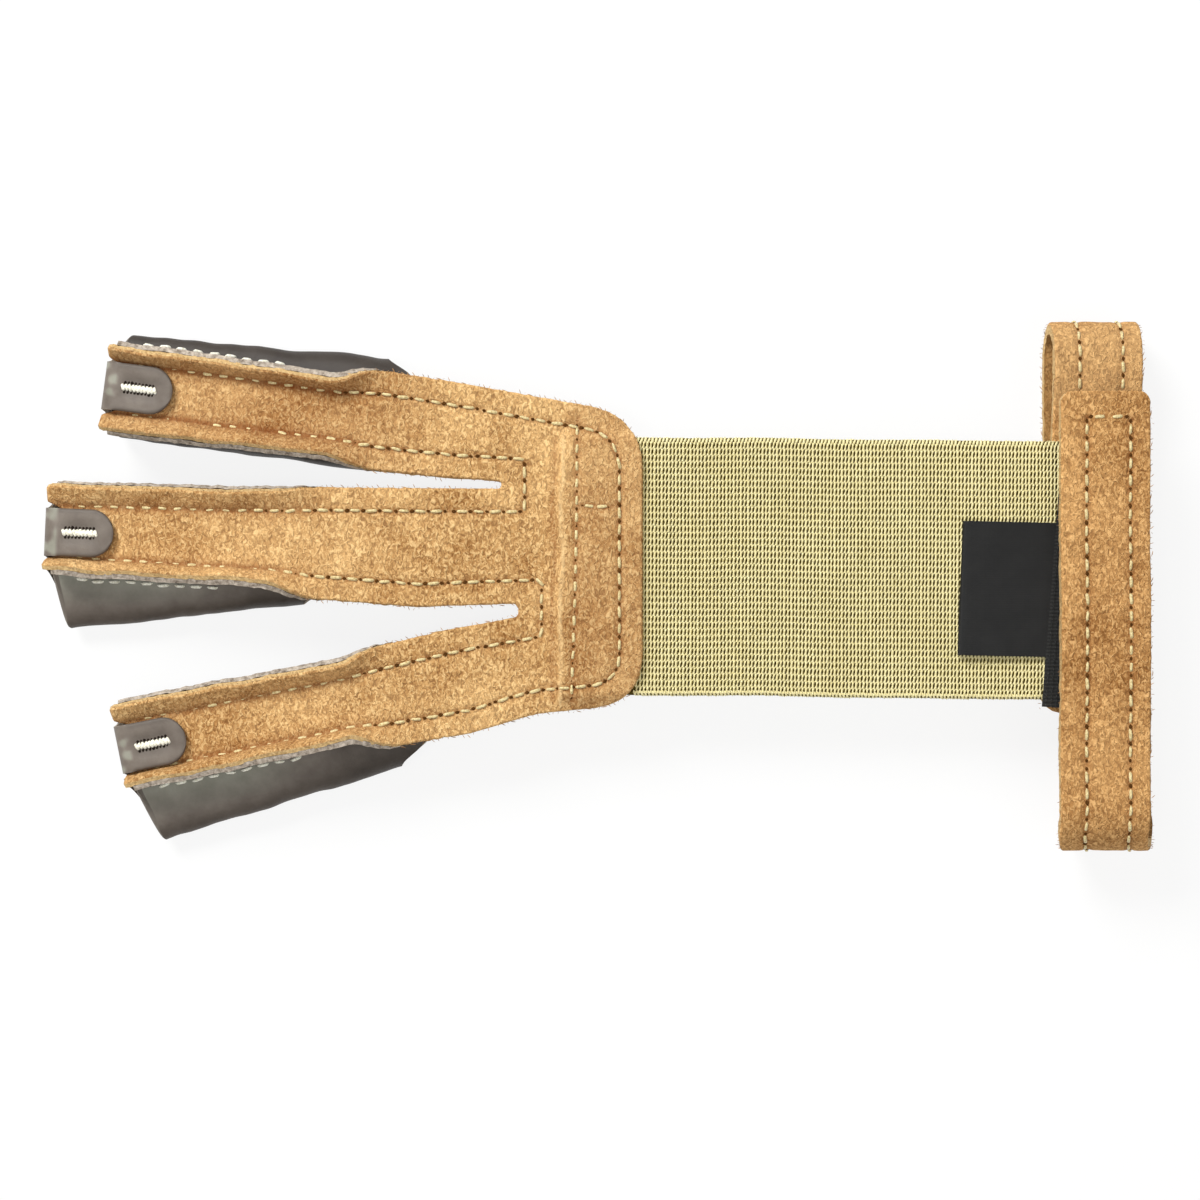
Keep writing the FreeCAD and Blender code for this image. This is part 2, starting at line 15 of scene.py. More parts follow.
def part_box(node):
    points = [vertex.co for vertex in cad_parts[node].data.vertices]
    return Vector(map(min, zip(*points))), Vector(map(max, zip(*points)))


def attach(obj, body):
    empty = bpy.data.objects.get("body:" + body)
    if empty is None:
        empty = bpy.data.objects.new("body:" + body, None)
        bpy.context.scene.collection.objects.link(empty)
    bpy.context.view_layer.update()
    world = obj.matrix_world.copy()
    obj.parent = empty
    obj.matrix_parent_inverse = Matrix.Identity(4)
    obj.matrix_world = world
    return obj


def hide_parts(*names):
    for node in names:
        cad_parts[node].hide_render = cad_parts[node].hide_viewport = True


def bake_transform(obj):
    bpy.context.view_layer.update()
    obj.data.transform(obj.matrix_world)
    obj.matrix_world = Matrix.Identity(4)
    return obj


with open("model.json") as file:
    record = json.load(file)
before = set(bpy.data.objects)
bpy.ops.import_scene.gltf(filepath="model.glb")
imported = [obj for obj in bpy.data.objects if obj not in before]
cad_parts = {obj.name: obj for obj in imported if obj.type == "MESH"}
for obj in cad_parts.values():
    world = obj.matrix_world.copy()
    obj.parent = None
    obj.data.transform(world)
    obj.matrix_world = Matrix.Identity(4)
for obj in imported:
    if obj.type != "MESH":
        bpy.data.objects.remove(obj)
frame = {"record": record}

bl_info = {
    "name": "Shooting Glove",
    "version": (1, 0, 0),
    "blender": (4, 5, 0),
    "location": "View3D > Sidebar > Glove",
    "description": "Dresses a three-finger shooting glove over its solid frame",
    "category": "Object",
}

MM = 0.001
UP = Vector((0, 0, 1))

# ---- sizes ----

SUEDE, LINING, STALL_LEATHER, ELASTIC = 1.3, 1.1, 1.6, 1.5
STRAP_THICK = SUEDE + LINING
FLANGE = 1.05  # of the stall leather as pressed by the seam
SEAM_INSET = 4.5
TIP_WIDTH = 20.0
TIP_HEIGHT = 8.3  # of a strap's underside at its tip
EDGE_RUNOUT = 12.0
SHOULDER = 0.35
TAB_WIDTH, TAB_LENGTH, TAB_NOSE = 9.4, 11.5, 2.6
BEND_REACH = 5.5  # of the bending zone, to each side of a hinge
ROUND = 0.45  # width of a cut edge's rounding
PANEL_RADII = (13.0, 11.0, 22.0)  # fillets at the ring side, the index side and the hip
WING = 2.4  # of the suede past the stall, on both sides of the tab
TOE_LEAN, TOE_CORNER = 1.6, 1.6  # how far the toe leans back at the sole, and more at its corners
TIP_CLEARANCE = 0.2  # between a strap's end and its tab
TACK_SETBACK, TACK_LENGTH, TACK_WRAPS = 1.4, 6.4, 18
HOOK_SKEW = 4.5  # degrees that the hook tape is sewn off square
STEP = 0.5  # between the points of a sheet, or of a seam's line
PANEL_STEP = 0.55
BAND_BARE = 14.5  # length of the band, hidden in the panel, that has no ribs
FIBRE_SPACING = 1.0
POCKET_POINTS = 57  # round a stall's section, between its two seam allowances
GROOVE_WIDTH, SEAM_SHADE_WIDTH = 0.75, 0.6  # of the dent along a seam, and of the painted shade line along it
FLOOR_WHITE = 0.85  # share of the floor that is plain white; the rest takes the shadow

# Lengths along a strap, widths at the knuckle and the mouth, the pocket's reach to its wide and narrow
# sides, and how far the cut edges turn up (near the mouth, at the tip), as in the solids. The mouth's rim
# is cut back by side_mouth at its wide side and by sole_mouth under the finger. tone darkens the suede.
FINGERS = {
    "index": dict(length=66.1, stall=54.5, base=20.6, mouth=20.0, wide=1, wide_tip=20.0, wide_mouth=15.0,
                  narrow=8.6, wide_edge=(76, 66), narrow_edge=(55, 38), side_mouth=3.8, sole_mouth=-3.0,
                  tone=0.06),
    "middle": dict(length=71.2, stall=53.0, base=23.1, mouth=22.0, wide=1, wide_tip=19.5, wide_mouth=12.5,
                   narrow=9.0, wide_edge=(66, 62), narrow_edge=(36, 30), side_mouth=5.0, sole_mouth=-1.0,
                   tone=0.12),
    "ring": dict(length=66.1, stall=53.5, base=18.6, mouth=19.4, wide=-1, wide_tip=11.2, wide_mouth=13.6,
                 narrow=9.6, wide_edge=(72, 58), narrow_edge=(52, 40), side_mouth=2.2, sole_mouth=-5.0,
                 tone=0.31),
}


class GloveSettings(bpy.types.PropertyGroup):
    stitch_pitch: bpy.props.FloatProperty(
        name="Stitch pitch", description="From one needle hole to the next", default=3.25 * MM,
        min=1.5 * MM, max=6 * MM, precision=5, unit="LENGTH", subtype="DISTANCE")
    weave_across: bpy.props.FloatProperty(
        name="Weave across", description="Pitch of the webbing's ribs along its length", default=0.7 * MM,
        min=0.3 * MM, max=3 * MM, precision=5, unit="LENGTH", subtype="DISTANCE")
    weave_along: bpy.props.FloatProperty(
        name="Weave along", description="Pitch of the webbing's rows across its width", default=1.25 * MM,
        min=0.5 * MM, max=4 * MM, precision=5, unit="LENGTH", subtype="DISTANCE")
    seed: bpy.props.IntProperty(
        name="Seed", description="Fixes the chance in stitches, weave and hooks", default=7, min=0)


# ---- reading the frame ----

@lru_cache(maxsize=None)
def joint(name):
    return next(j for j in frame["record"]["behaviour"]["joints"] if j["name"] == name)


@lru_cache(maxsize=None)
def box_mm(node):
    low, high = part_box(node)
    return low / MM, high / MM


def smooth(x, low=0.0, high=1.0):
    t = min(max((x - low) / (high - low), 0.0), 1.0)
    return t * t * (3 - 2 * t)


def lerp(a, b, t):
    return a + (b - a) * t


def wander(x, y, scale, seed=0.0):
    """Smooth chance from -1 to 1 that changes over about scale millimetres."""
    return noise.noise(Vector((x / scale, y / scale, seed)))


def bell(distance, width):
    """1 on a line, and next to nothing twice that width away from it."""
    return exp(-(distance / width) ** 2)


class Finger:
    """A finger strap's own frame in millimetres: u from the knuckle to the tip, v across, w up."""

    def __init__(self, name, **sizes):
        self.name = name
        self.__dict__.update(sizes)
        hinge = joint(name + "_bend")
        self.origin = Vector(hinge["pos_m"]) / MM
        self.side = Vector(hinge["axis"])
        self.ahead = self.side.cross(UP)
        self.mouth_u = self.length - self.stall
        self.under = (LINING - SUEDE) / 2
        self.top = self.under + SUEDE
        self.fall = (self.origin.z + self.under - TIP_HEIGHT) / self.length

    def drop(self, u):
        """How far the strap has come down at u: level behind the knuckle, then an even slope."""
        ease = BEND_REACH
        run = 0 if u < -ease else ((u + ease) ** 2 / (4 * ease) if u < ease else u)
        return self.fall * run

    def at(self, u, v, w):
        return self.origin + self.ahead * u + self.side * v + UP * (w - self.drop(u))

    def floor(self, u):
        return self.drop(u) - self.origin.z

    def local(self, x, y):
        """u and v of a place on the panel."""
        away = Vector((x, y, 0)) - Vector((self.origin.x, self.origin.y, 0))
        return away.dot(self.ahead), away.dot(self.side)

    def edge_corner(self, sign):
        """The strap's cut edge at the knuckle; sign is that of Y."""
        return self.at(0, -sign * self.base / 2, 0)

    def seam(self, u):
        """Half the width between the two seams."""
        if u < self.mouth_u:
            width = lerp(self.base, self.mouth, u / self.mouth_u)
        else:
            width = lerp(self.mouth, TIP_WIDTH, (u - self.mouth_u) / self.stall)
        return width / 2 - SEAM_INSET

    def edge_angles(self, u):
        """How far the cut edges are turned up at u, towards -v and +v."""
        if u <= self.mouth_u:
            return 0.0, 0.0
        part = (u - self.mouth_u) / self.stall
        rise = smooth(u, self.mouth_u, self.mouth_u + EDGE_RUNOUT)
        angles = []
        for side, edge in ((1, self.wide_edge), (-1, self.narrow_edge)):
            waver = 7 * wander(u, side * 40, 7, self.length) * rise
            angles.append(radians(lerp(edge[0], edge[1], part) * rise + waver * rise))
        return (angles[1], angles[0]) if self.wide > 0 else (angles[0], angles[1])


# ---- drawing helpers ----

def offset_line(points, distance):
    """An open chain of 2D points moved to its left by distance, mitred at the corners."""
    normals = []
    for (ax, ay), (bx, by) in zip(points, points[1:]):
        long = hypot(bx - ax, by - ay)
        normals.append(((ay - by) / long, (bx - ax) / long))
    moved = []
    for i, (x, y) in enumerate(points):
        nx, ny = normals[max(i - 1, 0)]
        mx, my = normals[min(i, len(normals) - 1)]
        share = distance / (1 + nx * mx + ny * my)
        moved.append((x + (nx + mx) * share, y + (ny + my) * share))
    return moved


def rounded_chain(points, radii):
    """An open chain of 2D points with each inner corner filleted, at its radius or as its sides allow."""
    chain = [points[0]]
    for before, here, after, radius in zip(points, points[1:], points[2:], radii):
        here = Vector(here)
        a, b = Vector(before) - here, Vector(after) - here
        half = a.angle(b) / 2
        back = min(radius / tan(half), a.length * 0.49, b.length * 0.49)
        start, end = here + a.normalized() * back, here + b.normalized() * back
        for k in range(13):
            t = k / 12
            chain.append(tuple(start.lerp(here, t).lerp(here.lerp(end, t), t)))
    chain.append(points[-1])
    return chain


def resample(points, spacing=None, count=None):
    """Points at even steps along a polyline, ends kept."""
    points = [Vector(p) for p in points]
    lengths = [0.0]
    for a, b in zip(points, points[1:]):
        lengths.append(lengths[-1] + (b - a).length)
    count = count or max(2, round(lengths[-1] / spacing) + 1)
    found, k = [], 0
    for i in range(count):
        target = lengths[-1] * i / (count - 1)
        while k < len(points) - 2 and lengths[k + 1] < target:
            k += 1
        run = lengths[k + 1] - lengths[k]
        found.append(points[k].lerp(points[k + 1], (target - lengths[k]) / run if run else 0))
    return found


def corners_cut(points, times):
    """A polyline smoothed by cutting its corners again and again, ends kept."""
    for _ in range(times):
        cut = [points[0]]
        for a, b in zip(points, points[1:]):
            cut += [tuple(lerp(p, q, share) for p, q in zip(a, b)) for share in (0.25, 0.75)]
        points = cut + [points[-1]]
    return points


def spread(low, high, step, edge=True):
    """Even steps from low to high, with close ones at both ends where edge is set."""
    count = max(1, round((high - low) / step))
    values = [lerp(low, high, i / count) for i in range(count + 1)]
    if edge:
        ends = [0.12, 0.28, ROUND]
        values = [low] + [low + e for e in ends] + values[1:-1] + [high - e for e in reversed(ends)] + [high]
    return values


def rounding(distance):
    """How far a sheet's surface falls near its cut edge."""
    inside = min(max(distance / ROUND, 0), 1)
    return ROUND * (1 - sqrt(1 - (1 - inside) ** 2))


# ---- meshes ----

def new_object(name, verts, faces, materials=(), shade=None, mark=None):
    """A mesh from millimetres; each vertex takes painted shade (some of it the suede's darker tone) and
    painted light.
    """
    mesh = bpy.data.meshes.new(name)
    mesh.from_pydata([tuple(Vector(v) * MM) for v in verts], [], faces)
    for label, values in (("shade", shade), ("mark", mark)):
        layer = mesh.attributes.new(label, "FLOAT", "POINT")
        layer.data.foreach_set("value", values or [0.0] * len(verts))
    for material in materials:
        mesh.materials.append(material)
    mesh.shade_smooth()
    piece = bpy.data.objects.new(name, mesh)
    bpy.context.scene.collection.objects.link(piece)
    return piece


def grid_faces(rows, columns):
    return [(r * columns + c, r * columns + c + 1, (r + 1) * columns + c + 1, (r + 1) * columns + c)
            for r in range(rows - 1) for c in range(columns - 1)]


def baked(piece, sharp=50):
    """Applies a piece's modifiers to its mesh and marks sharp edges."""
    graph = bpy.context.evaluated_depsgraph_get()
    mesh = bpy.data.meshes.new_from_object(piece.evaluated_get(graph))
    piece.modifiers.clear()
    old, piece.data = piece.data, mesh
    bpy.data.meshes.remove(old)
    mesh.name = piece.name
    mesh.set_sharp_from_angle(angle=radians(sharp))
    return piece


def thickened(piece, thick, rim=1, inside=2, drops=()):
    """Gives an open sheet its thickness, inwards, with its own finish on the cut edge and the inside.
    drops are how far each point of the sheet then sinks, in millimetres, to round a cut edge's corner."""
    solid = piece.modifiers.new("Thickness", "SOLIDIFY")
    solid.thickness = thick * MM
    solid.offset = -1
    solid.use_rim = True
    solid.material_offset_rim = rim
    solid.material_offset = inside
    return sunk(baked(piece), drops)


def sunk(piece, drops):
    """Moves the sheet's own points, which Solidify keeps first, after the thickness is made."""
    for vertex, drop in zip(piece.data.vertices, drops):
        vertex.co += drop * MM
    return piece


def joined(name, pieces):
    """One object from several, each with its own materials."""
    target = pieces[0]
    if len(pieces) > 1:
        with bpy.context.temp_override(active_object=target, selected_editable_objects=pieces):
            bpy.ops.object.join()
    target.name = name
    target.data.name = name
    return target


# ---- materials ----

def linear(code):
    """Linear colour from an sRGB hex code."""
    parts = [int(code[i:i + 2], 16) / 255 for i in (1, 3, 5)]
    return [c / 12.92 if c <= 0.04045 else ((c + 0.055) / 1.055) ** 2.4 for c in parts] + [1.0]


def add(tree, kind, inputs=None, **settings):
    """Adds a node. settings are its properties; inputs are values, or the sockets that feed it."""
    made = tree.nodes.new(kind)
    for name, value in settings.items():
        setattr(made, name, value)
    for name, value in (inputs or {}).items():
        socket = made.inputs[name]
        if isinstance(value, bpy.types.NodeSocket):
            tree.links.new(value, socket)
        else:
            socket.default_value = value
    return made


def ramp(tree, factor, stops):
    made = add(tree, "ShaderNodeValToRGB", {"Fac": factor})
    elements = made.color_ramp.elements
    while len(elements) < len(stops):
        elements.new(0.5)
    for element, (place, colour) in zip(elements, stops):
        element.position = place
        element.color = linear(colour)
    return made.outputs["Color"]


def texture(tree, size, detail=3.0, rough=0.6, stretch=(1, 1, 1), warp=0.0):
    """A noise texture whose blotches are about size millimetres, in the piece's own coordinates."""
    place = add(tree, "ShaderNodeTexCoord").outputs["Object"]
    place = add(tree, "ShaderNodeMapping", {"Vector": place, "Scale": stretch}).outputs["Vector"]
    return add(tree, "ShaderNodeTexNoise", {"Vector": place, "Scale": 1 / (size * MM), "Detail": detail,
                                            "Roughness": rough, "Distortion": warp}).outputs["Fac"]


def attribute(tree, name):
    return add(tree, "ShaderNodeAttribute", attribute_name=name).outputs["Fac"]


def mixed(tree, factor, a, b, blend="MIX"):
    made = add(tree, "ShaderNodeMix", data_type="RGBA", blend_type=blend)
    for index, value in ((0, factor), (6, a), (7, b)):
        if isinstance(value, bpy.types.NodeSocket):
            tree.links.new(value, made.inputs[index])
        else:
            made.inputs[index].default_value = value
    return made.outputs[2]


def bumped(tree, layers):
    """Bumps one on another: (height socket, strength, depth in millimetres)."""
    normal = None
    for height, strength, depth in layers:
        inputs = {"Height": height, "Strength": strength, "Distance": depth * MM}
        if normal:
            inputs["Normal"] = normal
        normal = add(tree, "ShaderNodeBump", inputs).outputs["Normal"]
    return normal


def material(name, build):
    """A new material whose tree build fills in: it returns the Principled sockets to set."""
    made = bpy.data.materials.get(name)
    if made:
        return made
    made = bpy.data.materials.new(name)
    made.use_nodes = True
    tree = made.node_tree
    surface = tree.nodes["Principled BSDF"]
    for socket, value in build(tree).items():
        if isinstance(value, bpy.types.NodeSocket):
            tree.links.new(value, surface.inputs[socket])
        else:
            surface.inputs[socket].default_value = value
    return made


def suede_look(dark, mid, light, nap=0.8):
    """Napped suede: short fibres that catch the light, over slow changes of tone."""
    def build(tree):
        fibre = texture(tree, nap, 2.4, 0.62, (1.25, 0.85, 1), warp=1.1)
        fine = texture(tree, 0.22, 2.0, 0.6)
        patch = texture(tree, 5, 2.0, 0.5)
        slow = texture(tree, 26, 2.0, 0.5)
        colour = ramp(tree, fibre, [(0.34, dark), (0.5, mid), (0.64, light)])
        colour = mixed(tree, 0.16, colour, ramp(tree, patch, [(0.35, dark), (0.65, light)]))
        colour = mixed(tree, 0.22, colour, ramp(tree, slow, [(0.36, dark), (0.64, light)]))
        # painted shade in the seams' grooves, the straps' channels and at the ridge's foot; also darker tone
        # in places
        colour = mixed(tree, attribute(tree, "shade"), colour, linear("#7a3f18"))
        # painted highlight along the ridge over the band's end, and painted light on the loop's top past the
        # flap
        colour = mixed(tree, attribute(tree, "mark"), colour, linear("#f0cf98"))
        return {"Base Color": colour, "Roughness": 0.95, "Sheen Weight": 0.22, "Sheen Roughness": 0.5,
                "Sheen Tint": linear("#f0c98c"), "Specular IOR Level": 0.15,
                "Normal": bumped(tree, [(fibre, 1.0, 0.5), (fine, 0.5, 0.12)])}
    return build


def cut_edge_look(dark, light, size=0.5):
    """The raw fibres of a cut leather edge."""
    def build(tree):
        grain = texture(tree, size, 4.0, 0.7)
        return {"Base Color": ramp(tree, grain, [(0.3, dark), (0.65, light)]), "Roughness": 0.9,
                "Specular IOR Level": 0.2, "Normal": bumped(tree, [(grain, 1.0, 0.3)])}
    return build


def stall_look(tree):
    """Dark brown waxed leather: painted sheen pales the tab and walls, painted shade darkens the folds."""
    cloud = texture(tree, 5, 4.0, 0.6)
    grain = texture(tree, 0.35, 3.0, 0.6)
    pores = add(tree, "ShaderNodeTexVoronoi", {"Scale": 1 / (0.55 * MM)}, feature="F1").outputs["Distance"]
    colour = ramp(tree, cloud, [(0.25, "#43382f"), (0.55, "#5b5046"), (0.8, "#6c6157")])
    # painted sheen on the tab, painted highlights on its nose and a painted lighter band along the walls
    painted_light_share = attribute(tree, "mark")
    painted_sheen_colour = ramp(tree, painted_light_share, [(0.25, "#a3968b"), (0.6, "#a8ae9a")])
    painted_sheen_colour = mixed(tree, 0.35, painted_sheen_colour, ramp(tree, cloud, [(0.3, "#8d887c"), (0.7, "#c6c4b8")]))
    colour = mixed(tree, painted_light_share, colour, painted_sheen_colour)
    # painted shade in the folds, under the suede's edges, over the ring's wall and in the tack's dent
    colour = mixed(tree, attribute(tree, "shade"), colour, linear("#1c150f"))
    rough = add(tree, "ShaderNodeMapRange", {"Value": cloud, "To Min": 0.44, "To Max": 0.58})
    return {"Base Color": colour, "Roughness": rough.outputs["Result"], "Specular IOR Level": 0.4,
            "Normal": bumped(tree, [(cloud, 0.25, 0.6), (grain, 0.35, 0.08), (pores, 0.25, 0.06)])}


def flesh_side_look(tree):
    """The unfinished inside of the stall leather."""
    fibre = texture(tree, 0.6, 4.0, 0.7)
    return {"Base Color": ramp(tree, fibre, [(0.3, "#2b241c"), (0.7, "#574a3c")]), "Roughness": 0.95,
            "Normal": bumped(tree, [(fibre, 0.8, 0.2)])}


def thread_look(tree):
    """Cream twisted thread."""
    ply = texture(tree, 0.35, 2.0, 0.5)
    return {"Base Color": ramp(tree, ply, [(0.3, "#b89e63"), (0.65, "#e8d8a2")]), "Roughness": 0.6,
            "Sheen Weight": 0.3, "Normal": bumped(tree, [(ply, 0.6, 0.1)])}


def tack_thread_look(tree):
    """The thicker off-white thread of the bar tacks and of the seams on the stalls."""
    ply = texture(tree, 0.35, 2.0, 0.5)
    return {"Base Color": ramp(tree, ply, [(0.3, "#d3ceb4"), (0.6, "#fffcec")]), "Roughness": 0.6,
            "Sheen Weight": 0.3, "Normal": bumped(tree, [(ply, 0.6, 0.1)])}


def leather_hole_look(tree):
    """The painted shade of a needle hole in leather: a dark patch where the hole is."""
    grain = texture(tree, 0.3)
    return {"Base Color": ramp(tree, grain, [(0.3, "#0f0b08"), (0.7, "#241b14")]), "Roughness": 0.9,
            "Specular IOR Level": 0.1}


def hole_look(tree):
    """The painted shade of a needle hole in suede: a dark patch where the hole is."""
    fibre = texture(tree, 0.3)
    return {"Base Color": ramp(tree, fibre, [(0.3, "#3a2410"), (0.7, "#66421f")]), "Roughness": 1.0,
            "Specular IOR Level": 0.0}


def webbing_ground_look(tree):
    """The shaded rubber and weft between the webbing's ribs."""
    fibre = texture(tree, 0.5)
    return {"Base Color": ramp(tree, fibre, [(0.3, "#362b0e"), (0.7, "#5f5220")]), "Roughness": 0.95,
            "Specular IOR Level": 0.1}


def yarn_look(tree):
    """Khaki textured yarn of the webbing, filaments along it."""
    filament = texture(tree, 0.3, 3.0, 0.6, (3.0, 1.0, 1.0))
    slow = texture(tree, 9, 2.0)
    colour = ramp(tree, filament, [(0.25, "#bcb07c"), (0.5, "#e6dba9"), (0.75, "#fdf6d4")])
    colour = mixed(tree, 0.25, colour, ramp(tree, slow, [(0.3, "#a89d68"), (0.7, "#efe6bb")]), "SOFT_LIGHT")
    return {"Base Color": colour, "Roughness": 0.9, "Sheen Weight": 0.05, "Specular IOR Level": 0.2,
            "Normal": bumped(tree, [(filament, 0.5, 0.08)])}


def tape_look(tree):
    """Black woven ground of the hook and the loop tape."""
    weave = add(tree, "ShaderNodeTexWave", {
        "Vector": add(tree, "ShaderNodeTexCoord").outputs["Object"], "Scale": 1 / (2.2 * MM)},
        bands_direction="Y").outputs["Fac"]
    return {"Base Color": ramp(tree, weave, [(0.2, "#141413"), (0.8, "#262624")]), "Roughness": 0.85,
            "Normal": bumped(tree, [(weave, 0.5, 0.15)])}


def nylon_look(tree):
    """Black nylon of the hooks and loops, with a little shine."""
    tone = texture(tree, 2.0)
    return {"Base Color": ramp(tree, tone, [(0.3, "#161615"), (0.7, "#2d2d2b")]), "Roughness": 0.38}


def label_look(tree):
    """Black woven satin: fine floats one way, with a soft shine."""
    place = add(tree, "ShaderNodeTexCoord").outputs["Object"]
    floats = add(tree, "ShaderNodeTexWave", {"Vector": place, "Scale": 1 / (1.1 * MM), "Distortion": 0.4,
                                             "Detail": 1.0}, bands_direction="Y").outputs["Fac"]
    picks = add(tree, "ShaderNodeTexWave", {"Vector": place, "Scale": 1 / (0.8 * MM)},
                bands_direction="X").outputs["Fac"]
    tone = texture(tree, 4.0)
    return {"Base Color": ramp(tree, tone, [(0.3, "#080808"), (0.7, "#111110")]), "Roughness": 0.6,
            "Specular IOR Level": 0.35, "Sheen Weight": 0.02,
            "Normal": bumped(tree, [(floats, 0.35, 0.05), (picks, 0.3, 0.04)])}


def suede_materials(kind="hand"):
    """Face, cut edge and lining of a suede piece."""
    face = {"hand": ("#7c5026", "#ca985c", "#ffd798"),
            "strap": ("#774a20", "#bb884f", "#f2c080")}[kind]
    return [material("suede_nap_" + kind, suede_look(*face)),
            material("suede_cut_edge", cut_edge_look("#a8834f", "#e0c08a")),
            material("suede_lining_split", suede_look("#7a5530", "#a67b45", "#c79a62", 0.7))]


def leather_materials():
    # the stall leather also takes painted sheen and painted shade from its vertices
    return [material("stall_leather_waxed", stall_look),
            material("stall_leather_cut_edge", cut_edge_look("#6a5d50", "#c9bcac", 0.9)),
            material("stall_leather_flesh", flesh_side_look)]


# ---- what repeats ----

def scatter_tree():
    """A node tree that puts a small shape on every point, lined up with the point's own directions."""
    tree = bpy.data.node_groups.get("Scatter On Points")
    if tree:
        return tree
    tree = bpy.data.node_groups.new("Scatter On Points", "GeometryNodeTree")
    face = tree.interface
    face.new_socket("Geometry", in_out="INPUT", socket_type="NodeSocketGeometry")
    face.new_socket("Shape", in_out="INPUT", socket_type="NodeSocketObject")
    face.new_socket("Turn", in_out="INPUT", socket_type="NodeSocketFloat")
    face.new_socket("Size Change", in_out="INPUT", socket_type="NodeSocketFloat")
    face.new_socket("Seed", in_out="INPUT", socket_type="NodeSocketInt")
    face.new_socket("Material", in_out="INPUT", socket_type="NodeSocketMaterial")
    face.new_socket("Geometry", in_out="OUTPUT", socket_type="NodeSocketGeometry")
    given = add(tree, "NodeGroupInput").outputs
    along = add(tree, "GeometryNodeInputNamedAttribute", {"Name": "along"}, data_type="FLOAT_VECTOR")
    facing = add(tree, "GeometryNodeInputNamedAttribute", {"Name": "facing"}, data_type="FLOAT_VECTOR")
    stand = add(tree, "FunctionNodeAlignRotationToVector", {"Vector": facing.outputs["Attribute"]}, axis="Z")
    line = add(tree, "FunctionNodeAlignRotationToVector", {
        "Rotation": stand.outputs["Rotation"],
        "Vector": along.outputs["Attribute"]}, axis="X", pivot_axis="Z")
    lowest = add(tree, "ShaderNodeMath", {0: given["Turn"], 1: -1.0}, operation="MULTIPLY")
    turn = add(tree, "FunctionNodeRandomValue", data_type="FLOAT")
    smallest = add(tree, "ShaderNodeMath", {0: 1.0, 1: given["Size Change"]}, operation="SUBTRACT")
    largest = add(tree, "ShaderNodeMath", {0: 1.0, 1: given["Size Change"]}, operation="ADD")
    size = add(tree, "FunctionNodeRandomValue", data_type="FLOAT")
    for made, low, high in ((turn, lowest.outputs[0], given["Turn"]),
                            (size, smallest.outputs[0], largest.outputs[0])):
        floats = [s for s in made.inputs if s.type == "VALUE" and s.enabled]
        tree.links.new(low, floats[0])
        tree.links.new(high, floats[1])
        tree.links.new(given["Seed"], made.inputs["Seed"])
    turned = add(tree, "FunctionNodeAxisAngleToRotation", {
        "Axis": (0, 0, 1), "Angle": next(s for s in turn.outputs if s.enabled)})
    both = add(tree, "FunctionNodeRotateRotation", {
        "Rotation": line.outputs["Rotation"],
        "Rotate By": turned.outputs["Rotation"]}, rotation_space="LOCAL")
    shape = add(tree, "GeometryNodeObjectInfo", {"Object": given["Shape"]})
    put = add(tree, "GeometryNodeInstanceOnPoints", {
        "Points": given["Geometry"], "Instance": shape.outputs["Geometry"],
        "Rotation": both.outputs["Rotation"], "Scale": next(s for s in size.outputs if s.enabled)})
    real = add(tree, "GeometryNodeRealizeInstances", {"Geometry": put.outputs["Instances"]})
    dressed = add(tree, "GeometryNodeSetMaterial", {"Geometry": real.outputs["Geometry"],
                                                    "Material": given["Material"]})
    add(tree, "NodeGroupOutput", {"Geometry": dressed.outputs["Geometry"]})
    return tree


def scattered(name, points, shape, finish, turn=0.0, change=0.0, seed=0):
    """Copies of a small shape at (place, along, facing), places in millimetres, as one mesh."""
    piece = new_object(name, [p[0] for p in points], [])
    for label, index in (("along", 1), ("facing", 2)):
        layer = piece.data.attributes.new(label, "FLOAT_VECTOR", "POINT")
        layer.data.foreach_set("vector", [c for p in points for c in Vector(p[index]).normalized()])
    rows = piece.modifiers.new("Scatter", "NODES")
    rows.node_group = scatter_tree()
    values = {"Shape": shape, "Turn": turn, "Size Change": change, "Seed": seed, "Material": finish}
    for item in rows.node_group.interface.items_tree:
        if item.in_out == "INPUT" and item.name in values:
            rows[item.identifier] = values[item.name]
    return baked(piece, 80)


def tube_shape(name, length, width, height, rings=6, sides=7, arch=0.0, dip=0.0):
    """A thread lying along X: it rises to arch in the middle and dips at its ends."""
    verts, faces = [], []
    for r in range(rings):
        t = r / (rings - 1)
        swell = sqrt(max(1 - (2 * t - 1) ** 4, 0.02))
        lift = arch * (1 - (2 * t - 1) ** 2) - dip * (2 * t - 1) ** 6
        for s in range(sides):
            a = 2 * pi * s / sides
            verts.append(((t - 0.5) * length, cos(a) * width / 2 * swell, sin(a) * height / 2 * swell + lift))
    for r in range(rings - 1):
        for s in range(sides):
            n = (s + 1) % sides
            faces.append((r * sides + s, (r + 1) * sides + s, (r + 1) * sides + n, r * sides + n))
    faces.append(tuple(range(sides)))
    faces.append(tuple(reversed([(rings - 1) * sides + s for s in range(sides)])))
    return hidden(new_object(name, verts, faces))


def hidden(piece):
    """Takes a pattern shape out of the scene; only its copies stay."""
    for collection in list(piece.users_collection):
        collection.objects.unlink(piece)
    return piece


